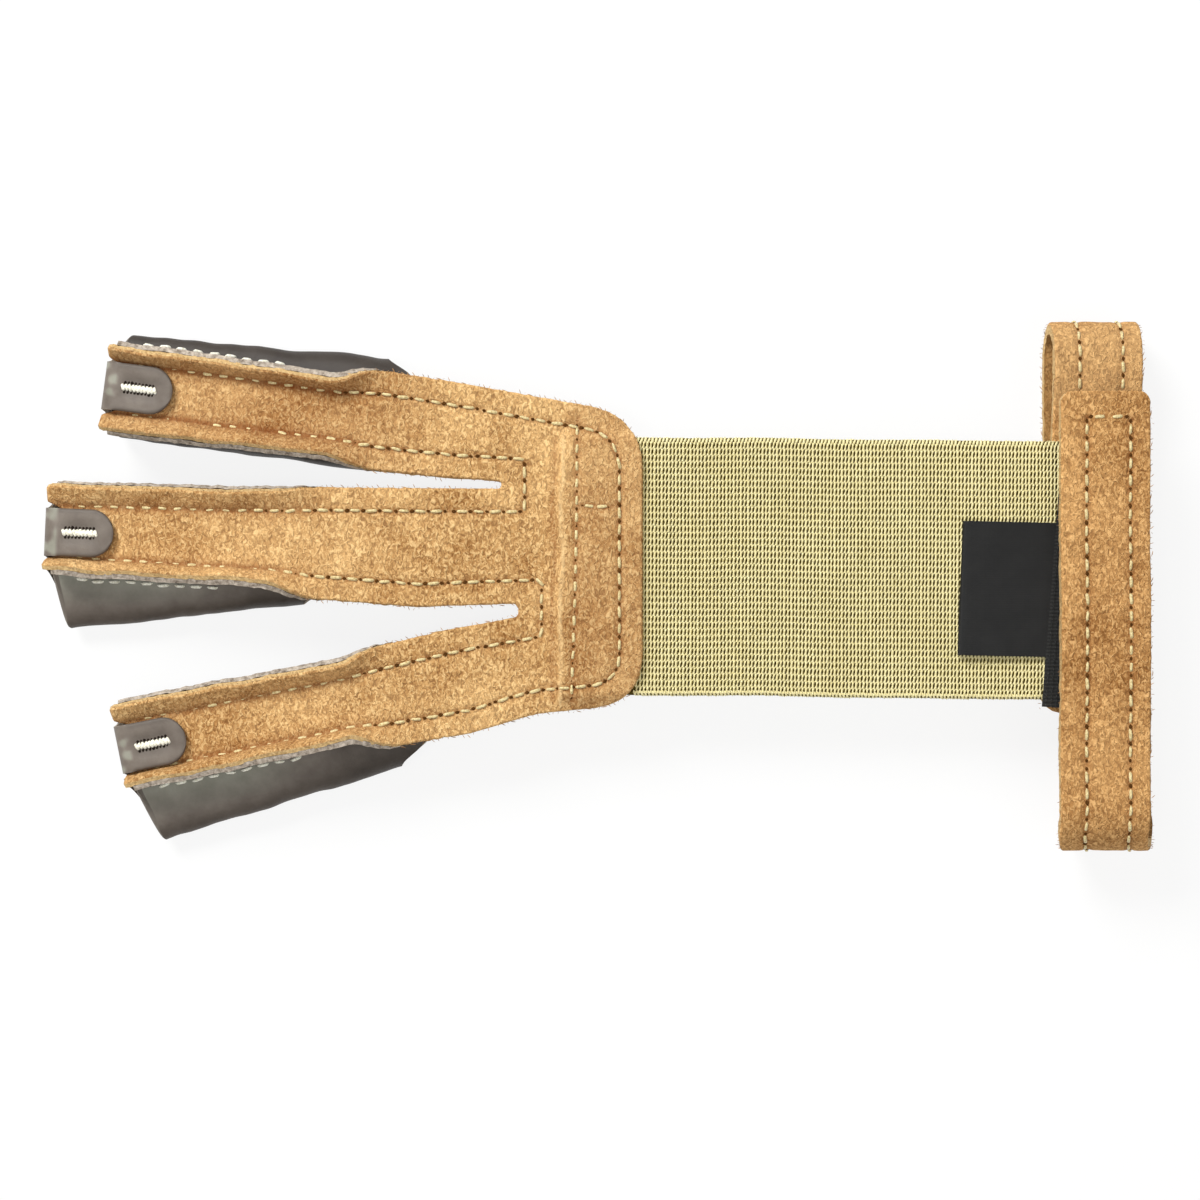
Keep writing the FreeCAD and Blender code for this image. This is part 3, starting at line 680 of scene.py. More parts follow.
def walk(path, pitch, margin=0.0):
    """(place, along, facing) at even steps along a path of (place, facing), and halfway between them."""
    places = [Vector(p) for p, _ in path]
    lengths = [0.0]
    for a, b in zip(places, places[1:]):
        lengths.append(lengths[-1] + (b - a).length)
    count = max(1, round((lengths[-1] - 2 * margin) / pitch))
    step = (lengths[-1] - 2 * margin) / count

    def at(distance):
        k = 0
        while k < len(places) - 2 and lengths[k + 1] < distance:
            k += 1
        t = min(max((distance - lengths[k]) / max(lengths[k + 1] - lengths[k], 1e-6), 0), 1)
        facing = Vector(path[k][1]).lerp(Vector(path[k + 1][1]), t)
        return places[k].lerp(places[k + 1], t), places[k + 1] - places[k], facing

    ends = [at(margin + i * step) for i in range(count + 1)]
    middles = [at(margin + (i + 0.5) * step) for i in range(count)]
    return ends, middles


def seams(name, paths, settings, holes=True, finish=None):
    """Saddle stitches along paths: a thread between each needle hole and the next."""
    finish = finish or material("thread_cream", thread_look)
    pitch = settings.stitch_pitch / MM
    knots, threads = [], []
    for path in paths:
        ends, middles = walk(path, pitch, 0.8)
        knots += ends
        threads += middles
    thread = tube_shape("thread", pitch * 0.74, 0.64, 0.5, arch=0.1, dip=0.35)
    made = [scattered(name, threads, thread, finish, 0.12, 0.1, settings.seed)]
    if holes:
        pit = tube_shape("pit", 0.85, 0.6, 0.16, 4, 8)
        made.append(scattered(name + "_holes", knots, pit, material("needle_hole", hole_look), 0.3, 0.2,
                              settings.seed + 1))
    return joined(name, made)


def fuzz(name, edges, settings):
    """Loose fibres along cut edges, each a path of (place, outward, up)."""
    hair = tube_shape("fibre", 0.8, 0.1, 0.1, 4, 4, 0.12)
    points = []
    for k, edge in enumerate(edges):
        for i, (place, outward, facing) in enumerate(edge):
            reach = 0.15 + 0.45 * wander(i * 1.7, k * 5, 1.1)
            lean = UP * 0.2 * wander(i, k, 0.9)
            points.append((place + outward.normalized() * reach, outward + lean, facing))
    kept = points[::round(FIBRE_SPACING / STEP)]
    return scattered(name, kept, hair, material("suede_fibre", fibre_look), 1.5, 0.6, settings.seed)


def fibre_look(tree):
    """Single suede fibres that stand out of a cut edge."""
    tone = texture(tree, 3.0)
    return {"Base Color": ramp(tree, tone, [(0.35, "#7d552c"), (0.65, "#c99a64")]), "Roughness": 0.9,
            "Sheen Weight": 0.3}


def rims_of(path_of, low, high):
    """The two cut edges of a sheet: path_of(distance, side) gives a place and its upward normal."""
    rims = []
    for side in (-1, 1):
        rim, count = [], int((high - low) / STEP)
        for i in range(count):
            at = low + i * STEP
            here, facing = path_of(at, side)
            inner, _ = path_of(at, side * 0.9)
            rim.append((here - facing * 0.6, here - inner, facing))
        rims.append(rim)
    return rims


# ---- hand panel ----

@lru_cache(maxsize=None)
def fingers():
    return {name: Finger(name, **sizes) for name, sizes in FINGERS.items()}


@lru_cache(maxsize=None)
def panel_chains():
    """The panel's three free edges as chains of corners from strap to strap, clockwise: round the wrist
    side, and round each slit. Each comes with its fillet radii."""
    found = fingers()
    wrist, elastic = box_mm("hand_panel")[1].x, box_mm("elastic_band")[0]
    top = (wrist, found["ring"].origin.y + 2.8)
    bottom = (wrist, elastic.y - 1.3)
    hip = (wrist - 20.5, elastic.y - 3.3)
    upper = (wrist - 27.4, elastic.y + 41.2, 1.5)
    lower = (wrist - 24.1, elastic.y + 16.8, 2.6)

    def strap(name, sign):
        return tuple(found[name].edge_corner(sign))[:2]

    def slit(place, down):
        x, y, width = place
        ends = [(x, y + width / 2), (x, y - width / 2)]
        return ends if down else ends[::-1]

    def cut(chain, first, last):
        """Starts and ends the chain where the straps' own sheets take over."""
        for end, inner, name in ((0, 1, first), (-1, -2, last)):
            finger = found[name]
            u0, u1 = (finger.local(*chain[k])[0] for k in (end, inner))
            t = (-BEND_REACH - u0) / (u1 - u0)
            chain[end] = tuple(lerp(a, b, t) for a, b in zip(chain[end], chain[inner]))
        return chain

    outer = [strap("ring", 1), top, bottom, hip, strap("index", -1)]
    low_slit = [strap("index", 1), *slit(lower, False), strap("middle", -1)]
    high_slit = [strap("middle", 1), *slit(upper, False), strap("ring", -1)]
    return [(cut(outer, "ring", "index"), PANEL_RADII),
            (cut(low_slit, "index", "middle"), (1.25, 1.25)),
            (cut(high_slit, "middle", "ring"), (0.72, 0.72))]


def panel_seams():
    """The panel's seam lines as 2D chains: one along each free edge, and the row across the band's end."""
    lines = []
    for chain, radii in panel_chains():
        inside = offset_line(chain, -SEAM_INSET)
        if len(radii) == 2:
            lines.append(rounded_chain(inside, [1.4] * len(radii)))
        else:
            lines.append(rounded_chain(inside, [max(r - SEAM_INSET, 1) for r in radii]))
    band = box_mm("elastic_band")[0].x + 3.0
    bottom, top = (min(p[1] for p in lines[0]), max(p[1] for p in lines[0]))
    across = [(band + 0.3, top - 2.2), (band + 0.2, 6), (band - 0.8, bottom + 0.4)]
    tack = [(band + 0.6, 15.4), (band + 7.2, 15.1)]
    return lines, [corners_cut(across, 2), tack]


class Near:
    """Distance to a set of 2D points."""

    def __init__(self, points):
        self.tree = kdtree.KDTree(len(points))
        for i, p in enumerate(points):
            self.tree.insert((p[0], p[1], 0), i)
        self.tree.balance()

    def __call__(self, x, y):
        return self.tree.find((x, y, 0))[2]


def panel_surface():
    """The height and the shading of the panel's face at x, y, in millimetres."""
    level = box_mm("hand_panel")[0].z + SUEDE
    end = box_mm("elastic_band")[0]
    seam = Near([p for lines in panel_seams() for line in lines for p in resample(line, 0.25)])
    found = list(fingers().values())

    def height(x, y):
        foot = end.x - 0.9 + 0.5 * wander(y, 3, 11) + 0.012 * (y - end.y)
        before = 1 - smooth(y, end.y + 49, end.y + 52.6)
        over = smooth(x, foot - 0.6, foot + 1.0) * smooth(y, end.y - 2.6, end.y + 1.0) * before
        pressed = seam(x, y)
        groove = 0.34 * bell(pressed, GROOVE_WIDTH)
        lumps = 0.22 * wander(x, y, 9, 3) + 0.10 * wander(x, y, 3.2, 5)
        free = smooth(min(-f.local(x, y)[0] for f in found), BEND_REACH, BEND_REACH + 4)
        within = smooth(y, end.y - 3, end.y) * before
        # painted shade along the seams' grooves and at the foot of the band's ridge; the suede past the
        # band's end is darker
        dark = 0.42 * bell(pressed, SEAM_SHADE_WIDTH) + 0.42 * within * bell(x - foot + 0.75, 0.45)
        dark += 0.24 * smooth(x, foot - 1, foot + 5)
        # painted highlight along the ridge's crest
        painted_crest_highlight = 0.55 * within * bell(x - foot - 0.9, 0.3)
        return level + ELASTIC * over - groove + lumps * free, dark, painted_crest_highlight

    return height


def columns_across(half):
    """Places across a sheet from -1 to 1, close together at its two cut edges."""
    return [s / half for s in spread(-half, half, STEP)]


def hand_back():
    """The suede panel and its lining as one sheet, up to where the finger straps' own sheets start. It
    rises over the band's end as a whole, so the band's ground shows through its underside there."""
    outline, free = [], []
    chains = panel_chains()
    for (chain, radii), (following, _), finger in zip(chains, chains[1:] + chains[:1], fingers().values()):
        edge = resample(rounded_chain(chain, radii), 0.45)
        free += edge
        outline += edge[:-1]
        start, end = edge[-1], Vector(following[0])
        outline += [start.lerp(end, (s + 1) / 2) for s in columns_across(finger.base / 2)[:-1]]
    near = Near(free)
    height = panel_surface()
    points = [tuple(p) for p in outline]
    count = len(points)
    for inset in (0.15, 0.32, ROUND):
        for before, here, after in zip(points[-1:] + points[:count - 1], points[:count],
                                       points[1:count] + points[:1]):
            across = Vector((after[1] - before[1], before[0] - after[0])).normalized()
            inner = (here[0] + across.x * inset, here[1] + across.y * inset)
            if near(*inner) > inset * 0.9:
                points.append(inner)
    low, high = box_mm("hand_panel")
    x = low.x - 6
    while x < high.x:
        y = low.y
        while y < high.y:
            place = (x + 0.12 * wander(x, y, 1.1, 1), y + 0.12 * wander(x, y, 1.1, 2))
            if near(*place) > ROUND + 0.25:
                points.append(place)
            y += PANEL_STEP
        x += PANEL_STEP
    loop = list(range(count))
    flat, _, faces, *_ = delaunay_2d_cdt([Vector(p) for p in points], [], [loop], 1, 1e-5)
    verts, shade, mark, drops = [], [], [], []
    for p in flat:
        z, dark, painted_crest_highlight = height(p.x, p.y)
        edge = near(p.x, p.y)
        waver = 0.12 * wander(p.x, p.y, 0.9, 8)
        verts.append((p.x + waver, p.y + waver, z))
        drops.append(-UP * rounding(edge))
        shade.append(dark)
        mark.append(painted_crest_highlight)
    piece = new_object("hand_back", verts, [tuple(f) for f in faces], suede_materials(), shade, mark)
    return thickened(piece, STRAP_THICK, drops=drops)


# ---- finger straps ----

def folded(finger, u, share):
    """(v, w, normal) on the top of a strap at u, share from -1 to 1 of the way across."""
    side = 1 if share > 0 else -1
    angle = finger.edge_angles(u)[(side + 1) // 2]
    mitre = SUEDE * tan(angle / 2)
    seam, reach = finger.seam(u) - mitre, SEAM_INSET - mitre + 0.22 * wander(u, side * 7, 1.2)
    bend = 0.7
    run = abs(share) * (seam + reach)
    start, arc = seam - bend * angle / 2, bend * angle
    if run <= start:
        v, w, tilt = run, 0.0, 0.0
    elif run <= start + arc:
        tilt = (run - start) / bend
        v, w = start + bend * sin(tilt), bend * (1 - cos(tilt))
    else:
        rest, tilt = run - start - arc, angle
        v = start + bend * sin(angle) + rest * cos(angle)
        w = bend * (1 - cos(angle)) + rest * sin(angle)
    return side * v, finger.top + w, Vector((0, -side * sin(tilt), cos(tilt)))


def strap_place(finger, u, share, lift=0.0):
    """A place on a strap's top, lifted along its normal, and that normal, both in the glove's frame."""
    if u < 0:
        half = finger.base / 2
        low, high = finger.ends
        t = -u / BEND_REACH
        v = lerp(lerp(-half, half, (share + 1) / 2), lerp(low, high, (share + 1) / 2), t)
        return finger.at(u, v, finger.top + lift), UP
    v, w, normal = folded(finger, u, share)
    world = finger.side * normal.y + UP * normal.z
    return finger.at(u, v, w) + world * lift, world


def with_ends(finger):
    """Notes where the strap's two edges are at the panel: v at the end of the bending zone."""
    ends = []
    for chain, _ in panel_chains():
        for place in (chain[0], chain[-1]):
            u, v = finger.local(*place)
            if abs(u + BEND_REACH) < 0.01 and abs(v) < finger.base:
                ends.append(v)
    finger.ends = (min(ends), max(ends))
    return finger


def finger_back(finger):
    """A finger's suede strap: flat to the stall's mouth, then with its cut edges turned up."""
    shares = columns_across(finger.base / 2)
    rows = max(2, round((finger.length + BEND_REACH) / STEP))
    verts, shade, drops = [], [], []
    for r in range(rows + 1):
        for share in shares:
            reach = finger.length + WING * smooth(abs(share), 0.5, 0.62) - 0.9 * smooth(abs(share), 0.94, 1)
            u = lerp(-BEND_REACH, reach, r / rows)
            half = finger.seam(max(u, 0)) + SEAM_INSET
            from_edge = (1 - abs(share)) * half
            from_seam = abs(from_edge - SEAM_INSET)
            held = smooth(u, -BEND_REACH, -BEND_REACH + 4)
            groove = (0.34 if u < finger.mouth_u + 4 else 0.16) * bell(from_seam, GROOVE_WIDTH)
            lumps = (0.24 * wander(u, share * 9, 8, finger.base) + 0.1 * wander(u, share * 9, 3, 2)) * held
            from_tip = reach - u
            place, normal = strap_place(finger, u, share, lumps - groove)
            verts.append(place)
            drops.append(-normal * min(rounding(from_edge) + rounding(from_tip), ROUND))
            tone = finger.tone * smooth(u, -BEND_REACH, 22)
            # painted shade: a soft band inside the turned-up edges past the mouth, and a line along each
            # seam's groove
            painted_valley_shade = (0.16 * smooth(u, finger.mouth_u, finger.mouth_u + 12) * smooth(from_edge, 8, 4)
                      * smooth(from_edge, 1.5, 3.5))
            shade.append(0.42 * bell(from_seam, SEAM_SHADE_WIDTH) + tone + painted_valley_shade)
    faces = [f[::-1] for f in grid_faces(rows + 1, len(shares))]
    piece = new_object(finger.name + "_back", verts, faces, suede_materials(), shade)
    return thickened_strap(piece, finger, drops)


def thickened_strap(piece, finger, drops):
    """Two layers thick up to the stall's mouth and one beyond it."""
    group = piece.vertex_groups.new(name="lined")
    for index, vertex in enumerate(piece.data.vertices):
        u, _ = finger.local(vertex.co.x / MM, vertex.co.y / MM)
        lined = 1 - smooth(u, finger.mouth_u - 1, finger.mouth_u + 1)
        group.add([index], lerp(SUEDE / STRAP_THICK, 1, lined), "REPLACE")
    solid = piece.modifiers.new("Thickness", "SOLIDIFY")
    solid.vertex_group = "lined"
    solid.thickness = STRAP_THICK * MM
    solid.offset = -1
    solid.material_offset_rim = 1
    solid.material_offset = 2
    return sunk(baked(piece), drops)


def finger_seams(finger, settings):
    """The two rows that hold a strap's edges, down to the stall's end."""
    paths = []
    for side in (-1, 1):
        path = []
        u = -BEND_REACH
        while u < finger.length - 2:
            angle = finger.edge_angles(max(u, 0))[(side + 1) // 2]
            mitre = SUEDE * tan(angle / 2)
            whole = finger.seam(max(u, 0)) + SEAM_INSET - 2 * mitre
            share = side * (whole - SEAM_INSET + mitre) / whole
            sunken = 0.22 * smooth(u, finger.mouth_u + 4, finger.mouth_u + 16)
            path.append(strap_place(finger, u, share, -0.12 - sunken))
            u += STEP
        paths.append(path)
    return seams(finger.name + "_seams", paths, settings)


# ---- stalls ----

def suede_line(finger, u):
    """The underside of a strap across its width as (v, w), v towards the pocket's wide side."""
    seam = finger.seam(u)
    left, right = (SEAM_INSET + 0.1 + 0.35 * wander(u, side, 1.3, finger.length) for side in (30, 60))
    low, high = finger.edge_angles(u)
    wide, narrow = (high, low) if finger.wide > 0 else (low, high)
    under = finger.under
    return [
        (-seam - left * cos(narrow), under + left * sin(narrow)), (-seam, under),
        (seam, under), (seam + right * cos(wide), under + right * sin(wide))]


def stall_section(finger, u):
    """The outer face of a stall across its width: the two seam allowances and the pocket between."""
    part = (u - finger.mouth_u) / finger.stall
    wide = lerp(finger.wide_mouth, finger.wide_tip, part)
    floor = finger.floor(u)
    depth = finger.under - floor
    lower = offset_line(suede_line(finger, u), -FLANGE)
    shoulder = finger.under - SHOULDER * depth
    bulge = 0.5 * wander(u, 10, 9, finger.base) + 0.3 * wander(u, 20, 4, finger.base)
    belly = [lower[1], (lower[1][0] - 0.3, lower[1][1] - 0.5), (-finger.narrow - bulge, shoulder),
             (-finger.narrow, floor), (wide - 1.0, floor), (wide + bulge, shoulder),
             (lower[2][0] + 0.3, lower[2][1] - 0.5), lower[2]]
    belly = resample(corners_cut(belly, 3), count=POCKET_POINTS)
    left = [Vector(lower[0]).lerp(Vector(lower[1]), k / 6) for k in range(6)]
    right = [Vector(lower[2]).lerp(Vector(lower[3]), k / 6) for k in range(1, 7)]
    return left, belly, right


def hermite(a, start, b, end, t):
    return (a * (2 * t ** 3 - 3 * t * t + 1) + start * (t ** 3 - 2 * t * t + t)
            + b * (-2 * t ** 3 + 3 * t * t) + end * (t ** 3 - t * t))


def mouth_line(finger, v, depth):
    """Where the mouth's rim is along the strap: cut back at the wide side and under the finger."""
    if v > 0:
        side = smooth(v, finger.wide_mouth * 0.62, finger.wide_mouth)
    else:
        side = 0.4 * smooth(-v, finger.narrow * 0.62, finger.narrow)
    return finger.mouth_u + smooth(depth, 0.05, 0.3) * lerp(finger.sole_mouth, finger.side_mouth, side)


def toe_line(finger, v, depth):
    """Where the pocket ends along the strap: the toe leans back to the sole, and more at its corners."""
    brow = finger.seam(finger.length) + STALL_LEATHER
    back = TOE_LEAN * max(depth, 0) ** 1.3 + TOE_CORNER * smooth(abs(v), brow, brow + 9) * (depth > 0)
    return finger.length + 0.5 - back


def pocket_tone(finger, depth, from_tip):
    """Darkening and painted light on a pocket's wall, that far under the suede and from the tip."""
    # painted shade over all of the ring's wall; on the others a painted light band near the top, darker lower
    # down and towards the mouth
    if finger.wide < 0:
        return 0.72, 0.0
    wall_darkening = 0.3 * smooth(depth, 0.18, 0.38) + 0.45 * smooth(from_tip, 0.45, 1.0)
    painted_light_share = (0.6 * smooth(depth, 0.03, 0.16) * (1 - 0.9 * smooth(depth, 0.17, 0.40))
              * (1 - 0.8 * smooth(from_tip, 0.3, 0.85)))
    return wall_darkening, painted_light_share


def stall(finger):
    """A stall: pocket, seam allowances, gathered toe and the tab that folds over the strap's end."""
    count, rows, cap, nose, lap = POCKET_POINTS, 84, 16, 8, 26
    across = 12 + count
    verts, shade, mark, faces = [], [], [], []

    def put(u, v, w, dark=0.0, light=0.0):
        verts.append(finger.at(u, finger.wide * v, w))
        shade.append(dark)
        mark.append(light)

    for r in range(rows + 1):
        t = r / rows
        guess = lerp(finger.mouth_u, finger.length, t)
        left, belly, right = stall_section(finger, guess)
        floor = finger.floor(guess)
        for points in (left, belly, right):
            pocket = points is belly
            for c, (v, w) in enumerate(points):
                depth = (finger.under - w) / (finger.under - floor)
                from_rim = min(c, len(points) - 1 - c)
                end = toe_line(finger, v, depth) if pocket else finger.length + 0.5
                u = lerp(mouth_line(finger, v, depth), end, t)
                dent = 0.35 * wander(u * 0.7, c * 0.8, 7, finger.length) if pocket else 0
                inward = Vector((-v, finger.under - 5 - w)).normalized() * dent * smooth(from_rim, 1, 10)
                # a little painted shade on the seam allowances under the suede; in the pocket, painted shade
                # at the wall's top
                dark, painted_light_share = 0.1, 0.0
                if pocket:
                    wall_darkening, painted_light_share = pocket_tone(finger, depth, (finger.length - u) / finger.stall)
                    dark = 0.55 * bell(from_rim, 2.0) + wall_darkening
                put(u, v + inward.x, max(w + inward.y, finger.floor(u) + 0.02), dark, painted_light_share)
    faces += grid_faces(rows + 1, across)
    rim = rows * across + 6
    ahead, tip = finger.length + TIP_CLEARANCE, finger.top + STALL_LEATHER - TAB_NOSE
    lines = [rim]
    for k in range(1, cap + 1):
        t = k / cap
        lines.append(len(verts))
        for c in range(count):
            share = c / (count - 1)
            place = verts[rim + c] - finger.origin
            u = place.dot(finger.ahead)
            v = place.dot(finger.side) * finger.wide
            w = place.z + finger.drop(u)
            side = (share - 0.5) * TAB_WIDTH
            low = smooth(finger.under - w, 1.5, 8)
            start = Vector((lerp(1.5, 7, low), 0, 0.5))
            finish = Vector((0, 0, lerp(2, 9, low)))
            point = hermite(Vector((u, v, w)), start, Vector((ahead + TAB_NOSE, side, tip)), finish, t)
            # painted shade where the tab leaves the toe below the strap's end, and painted sheen over the tab
            put(point.x, point.y, max(point.z, finger.floor(point.x) + 0.02),
                0.35 * (1 - t) * (1 - low), lerp(0.3, 0.2, smooth(t, 0.35, 1)))
    for k in range(1, nose + 1):
        lines.append(len(verts))
        turn = pi / 2 * k / nose
        for c in range(count):
            side = (c / (count - 1) - 0.5) * TAB_WIDTH
            # painted sheen with patches of painted highlight over the nose
            put(ahead + TAB_NOSE * cos(turn), side, tip + TAB_NOSE * sin(turn), 0,
                0.2 + 0.35 * smooth(wander(side, turn * 2, 2.2, finger.length), 0, 0.4))
    round_end = TAB_WIDTH * 0.48
    for k in range(1, lap + 1):
        lines.append(len(verts))
        gone = TAB_LENGTH * (1 - (1 - k / lap) ** 1.6)
        left = TAB_LENGTH - gone
        half = TAB_WIDTH / 2
        if left < round_end:
            half *= sqrt(max(1 - ((round_end - left) / round_end) ** 2, 0.0004))
        for c in range(count):
            share = c / (count - 1) * 2 - 1
            side = share * half
            tack = smooth(abs(side), 3.2, 0.6) * smooth(gone, 0.5, 2.4) * (1 - smooth(gone, 7.2, 9.5))
            edge = rounding(min(half * (1 - abs(share)), left * 0.8) * 0.6)
            lump = 0.12 * wander(gone, side, 4, finger.length)
            rim_dark = 0.4 * smooth(abs(share), 0.75, 1.0)
            # painted shade in the bar tack's dent, the tab's sides darker, painted sheen over all
            put(ahead - gone, side, tip + TAB_NOSE - 0.35 * tack - edge + lump, 0.25 * tack + rim_dark, 0.2)
    for a, b in zip(lines, lines[1:]):
        faces += [(a + c, a + c + 1, b + c + 1, b + c) for c in range(count - 1)]
    if finger.wide < 0:
        faces = [f[::-1] for f in faces]
    piece = new_object(finger.name + "_stall_leather", verts, faces, leather_materials(), shade, mark)
    return thickened(piece, FLANGE)


def stall_seams(finger, settings):
    """The same rows where they come out on the leather: just under the turned-up edges, and on the wide
    side's last stretch on the wall below them, which they reach in one step."""
    paths = []
    for side in (0, 1):
        path = []
        u = finger.mouth_u + 3
        while u < finger.length - 1.5:
            lower = offset_line(suede_line(finger, u), -FLANGE)
            corner, end = (lower[2], lower[3]) if side else (lower[1], lower[0])
            out = (Vector(end) - Vector(corner)).normalized()
            place = Vector(corner) + out * 1.1
            normal = Vector((out.y, -out.x)) if side else Vector((-out.y, out.x))
            if side and u > finger.length - 0.6 * finger.stall:
                wall = stall_section(finger, u)[1]
                rim = max(lower[2][0], lower[3][0]) + 0.5
                k = next(i for i in range(2, 20) if wall[-i].x > rim)
                near, far = wall[1 - k], wall[-k]
                run = (far - near).normalized()
                normal = Vector((-run.y, run.x))
                place = near.lerp(far, (rim - near.x) / (far.x - near.x)) + normal * 0.22
            path.append((finger.at(u, finger.wide * place.x, place.y),
                         finger.side * (finger.wide * normal.x) + UP * normal.y))
            u += STEP
        paths.append(path)
    return seams(finger.name + "_stall_seams", paths, settings, False,
                 material("thread_white", tack_thread_look))


def bar_tack(finger, settings):
    """Close zigzag wraps over a short line along the tab."""
    wrap = tube_shape("wrap", 1.75, 0.6, 0.45, 5, 7, 0.12, 0.35)
    front = finger.length + TIP_CLEARANCE - TACK_SETBACK - 0.2
    points, pits = [], []
    for i in range(TACK_WRAPS + 1):
        u = front - TACK_LENGTH * i / TACK_WRAPS
        lean = 0.3 if i % 2 else -0.3
        place = finger.at(u, 0.12 * wander(i, 0, 1.3), finger.top + STALL_LEATHER - 0.2)
        points.append((place, finger.side + finger.ahead * lean, UP))
        if i % 2:
            pits += [(place + finger.side * side * 0.95 - UP * 0.12, finger.side, UP) for side in (-1, 1)]
    pit = tube_shape("pit", 0.8, 0.55, 0.16, 4, 8)
    return joined(finger.name + "_tack", [
        scattered(finger.name + "_tack", points, wrap, material("thread_white", tack_thread_look), 0.1, 0.12,
                  settings.seed),
        scattered(finger.name + "_tack_holes", pits, pit, material("leather_hole", leather_hole_look), 0.3,
                  0.2, settings.seed)])


# ---- elastic band ----

def band_skew(x, y):
    """The band runs a little askew to the glove."""
    low, high = box_mm("elastic_band")
    t = (x - low.x) / (high.x - low.x)
    return y - lerp(-0.9, 1.0, t) * 0.6 + 0.25 * wander(x, y / 8, 22, 4)


def band_level(x, y, top):
    low, high = box_mm("elastic_band")
    free = smooth(x, low.x + 16, low.x + 26) * (1 - smooth(x, high.x - 26, high.x - 14))
    wave = 0.5 * wander(x, y, 30, 6) * free
    return (high.z if top else low.z) + wave


def band_ground():
    """The band's ground, under the ribs of both faces."""
    low, high = box_mm("elastic_band")
    columns = spread(low.x, high.x, 1.0, False)
    around = [(low.y + 0.5, 1), (low.y + 0.12, 0.75), (low.y, 0.5), (low.y + 0.12, 0.25), (low.y + 0.5, 0)]
    steps = spread(low.y + 0.5, high.y - 0.5, 2.0, False)
    ring = [(y, 0) for y in steps[1:-1]]
    far = [(low.y + high.y - y, t) for y, t in around[::-1]]
    section = around + ring + far + [(y, 1) for y in reversed(steps[1:-1])]
    verts = []
    for x in columns:
        for y, t in section:
            under = band_level(x, y, False) + 0.42
            over = band_level(x, y, True) - 0.42
            verts.append((x, band_skew(x, y), lerp(under, over, t)))
    n = len(section)
    faces = []
    for c in range(len(columns) - 1):
        for i in range(n):
            j = (i + 1) % n
            faces.append((c * n + i, c * n + j, (c + 1) * n + j, (c + 1) * n + i))
    faces.append(tuple(reversed(range(n))))
    faces.append(tuple((len(columns) - 1) * n + i for i in range(n)))
    piece = new_object("elastic_ground", verts, faces, [material("webbing_ground", webbing_ground_look)])
    return baked(piece, 60)


def rib_shape(across, along, wide):
    """One rib of the webbing between two picks: full at its ends, narrow between, raised in the middle."""
    verts, rows, columns = [], 6, 5
    for r in range(rows):
        t = r / (rows - 1)
        waist = 1 - (1 - wide) * sin(pi * t) ** 0.8
        for c in range(columns):
            s = c / (columns - 1) * 2 - 1
            y = (t - 0.5) * along * 1.04
            x = s * across / 2 * waist * 1.02 + 0.16 * y
            crown = 0.30 * (0.35 + 0.65 * sin(pi * t)) * (1 - abs(s) ** 2.4) - 0.12 * abs(s)
            verts.append((x, y, crown))
    return hidden(new_object("rib", verts, grid_faces(rows, columns)))


def band_ribs(settings, top):
    """The ribs of one face, in rows across the band, with narrow and wide slots in turn."""
    low, high = box_mm("elastic_band")
    across, along = settings.weave_across / MM, settings.weave_along / MM
    left = low.x + BAND_BARE
    right = high.x - (9.0 if top else 12.0)
    columns, rows = int((right - left) / across), int((high.y - low.y - 0.9) / along)
    facing = UP if top else -UP
    sets = ([], [])
    for c in range(columns):
        for r in range(rows):
            x = left + (c + 0.5) * across
            y = low.y + 0.45 + (r + 0.5) * along + 0.10 * wander(x, r * 1.25, 6, 2)
            x += 0.05 * wander(x, r, 2.0, 9)
            z = band_level(x, y, top) + (-0.22 if top else 0.22)
            sets[c % 2].append(((x, band_skew(x, y), z), (1, 0.0, 0), facing))
    finish = material("webbing_yarn", yarn_look)
    name = "elastic_ribs" if top else "elastic_ribs_below"
    made = [scattered(name + str(i), points, rib_shape(across, along, wide), finish, 0.06, 0.06,
                      settings.seed + i)
            for i, (points, wide) in enumerate(zip(sets, (0.4, 0.54)))]
    return joined(name, made)


def band_selvedges(settings):
    """The looped edges of the band: short slanted turns of yarn, close together."""
    low, high = box_mm("elastic_band")
    turn = tube_shape("selvedge_turn", 1.35, 0.5, 0.5, 5, 6)
    points = []
    for edge, y in ((-1, low.y), (1, high.y)):
        x = low.x + BAND_BARE
        while x < high.x - 9:
            side = band_skew(x, y) - edge * (0.42 + 0.12 * wander(x, y, 1.5, 4))
            middle = (band_level(x, y, True) + band_level(x, y, False)) / 2
            points.append(((x, side, middle + 0.36), (0.3 * edge, 0.85, -0.45 * edge), (0, 0.5 * edge, 1)))
            points.append(((x + 0.35, side, middle - 0.36), (0.3 * edge, 0.85, 0.45 * edge),
                           (0, 0.5 * edge, -1)))
            x += 0.7
    return scattered("elastic_selvedges", points, turn, material("webbing_yarn", yarn_look), 0.15, 0.1,
                     settings.seed)


# ---- wrist strap ----

def strap_half():
    """Half the strap's width."""
    low, high = box_mm("wrist_strap_suede")
    return (high.x - low.x) / 2


def flap_root():
    """Where the flap's own sheet starts in Y, at the near end of its bend."""
    return joint("strap_peel")["pos_m"][1] / MM - BEND_REACH


def flap_end():
    return box_mm("flap_suede")[1].y


def strap_rows():
    """The two seam rows along the strap, from its middle line."""
    half = strap_half()
    return -half + 4.9, half - 3.9


def strap_groove(across):
    """How deep the two rows press the suede, that far from the strap's middle line."""
    return 0.3 * sum(bell(across - row, GROOVE_WIDTH) for row in strap_rows())


def share_at_end(from_end, run, cut):
    """How much of its half width a strap keeps near an end whose corners are cut off over a run."""
    if from_end >= run:
        return 1.0
    return 1 - (1 - sqrt(max(1 - ((run - from_end) / run) ** 2, 0))) * cut / strap_half()


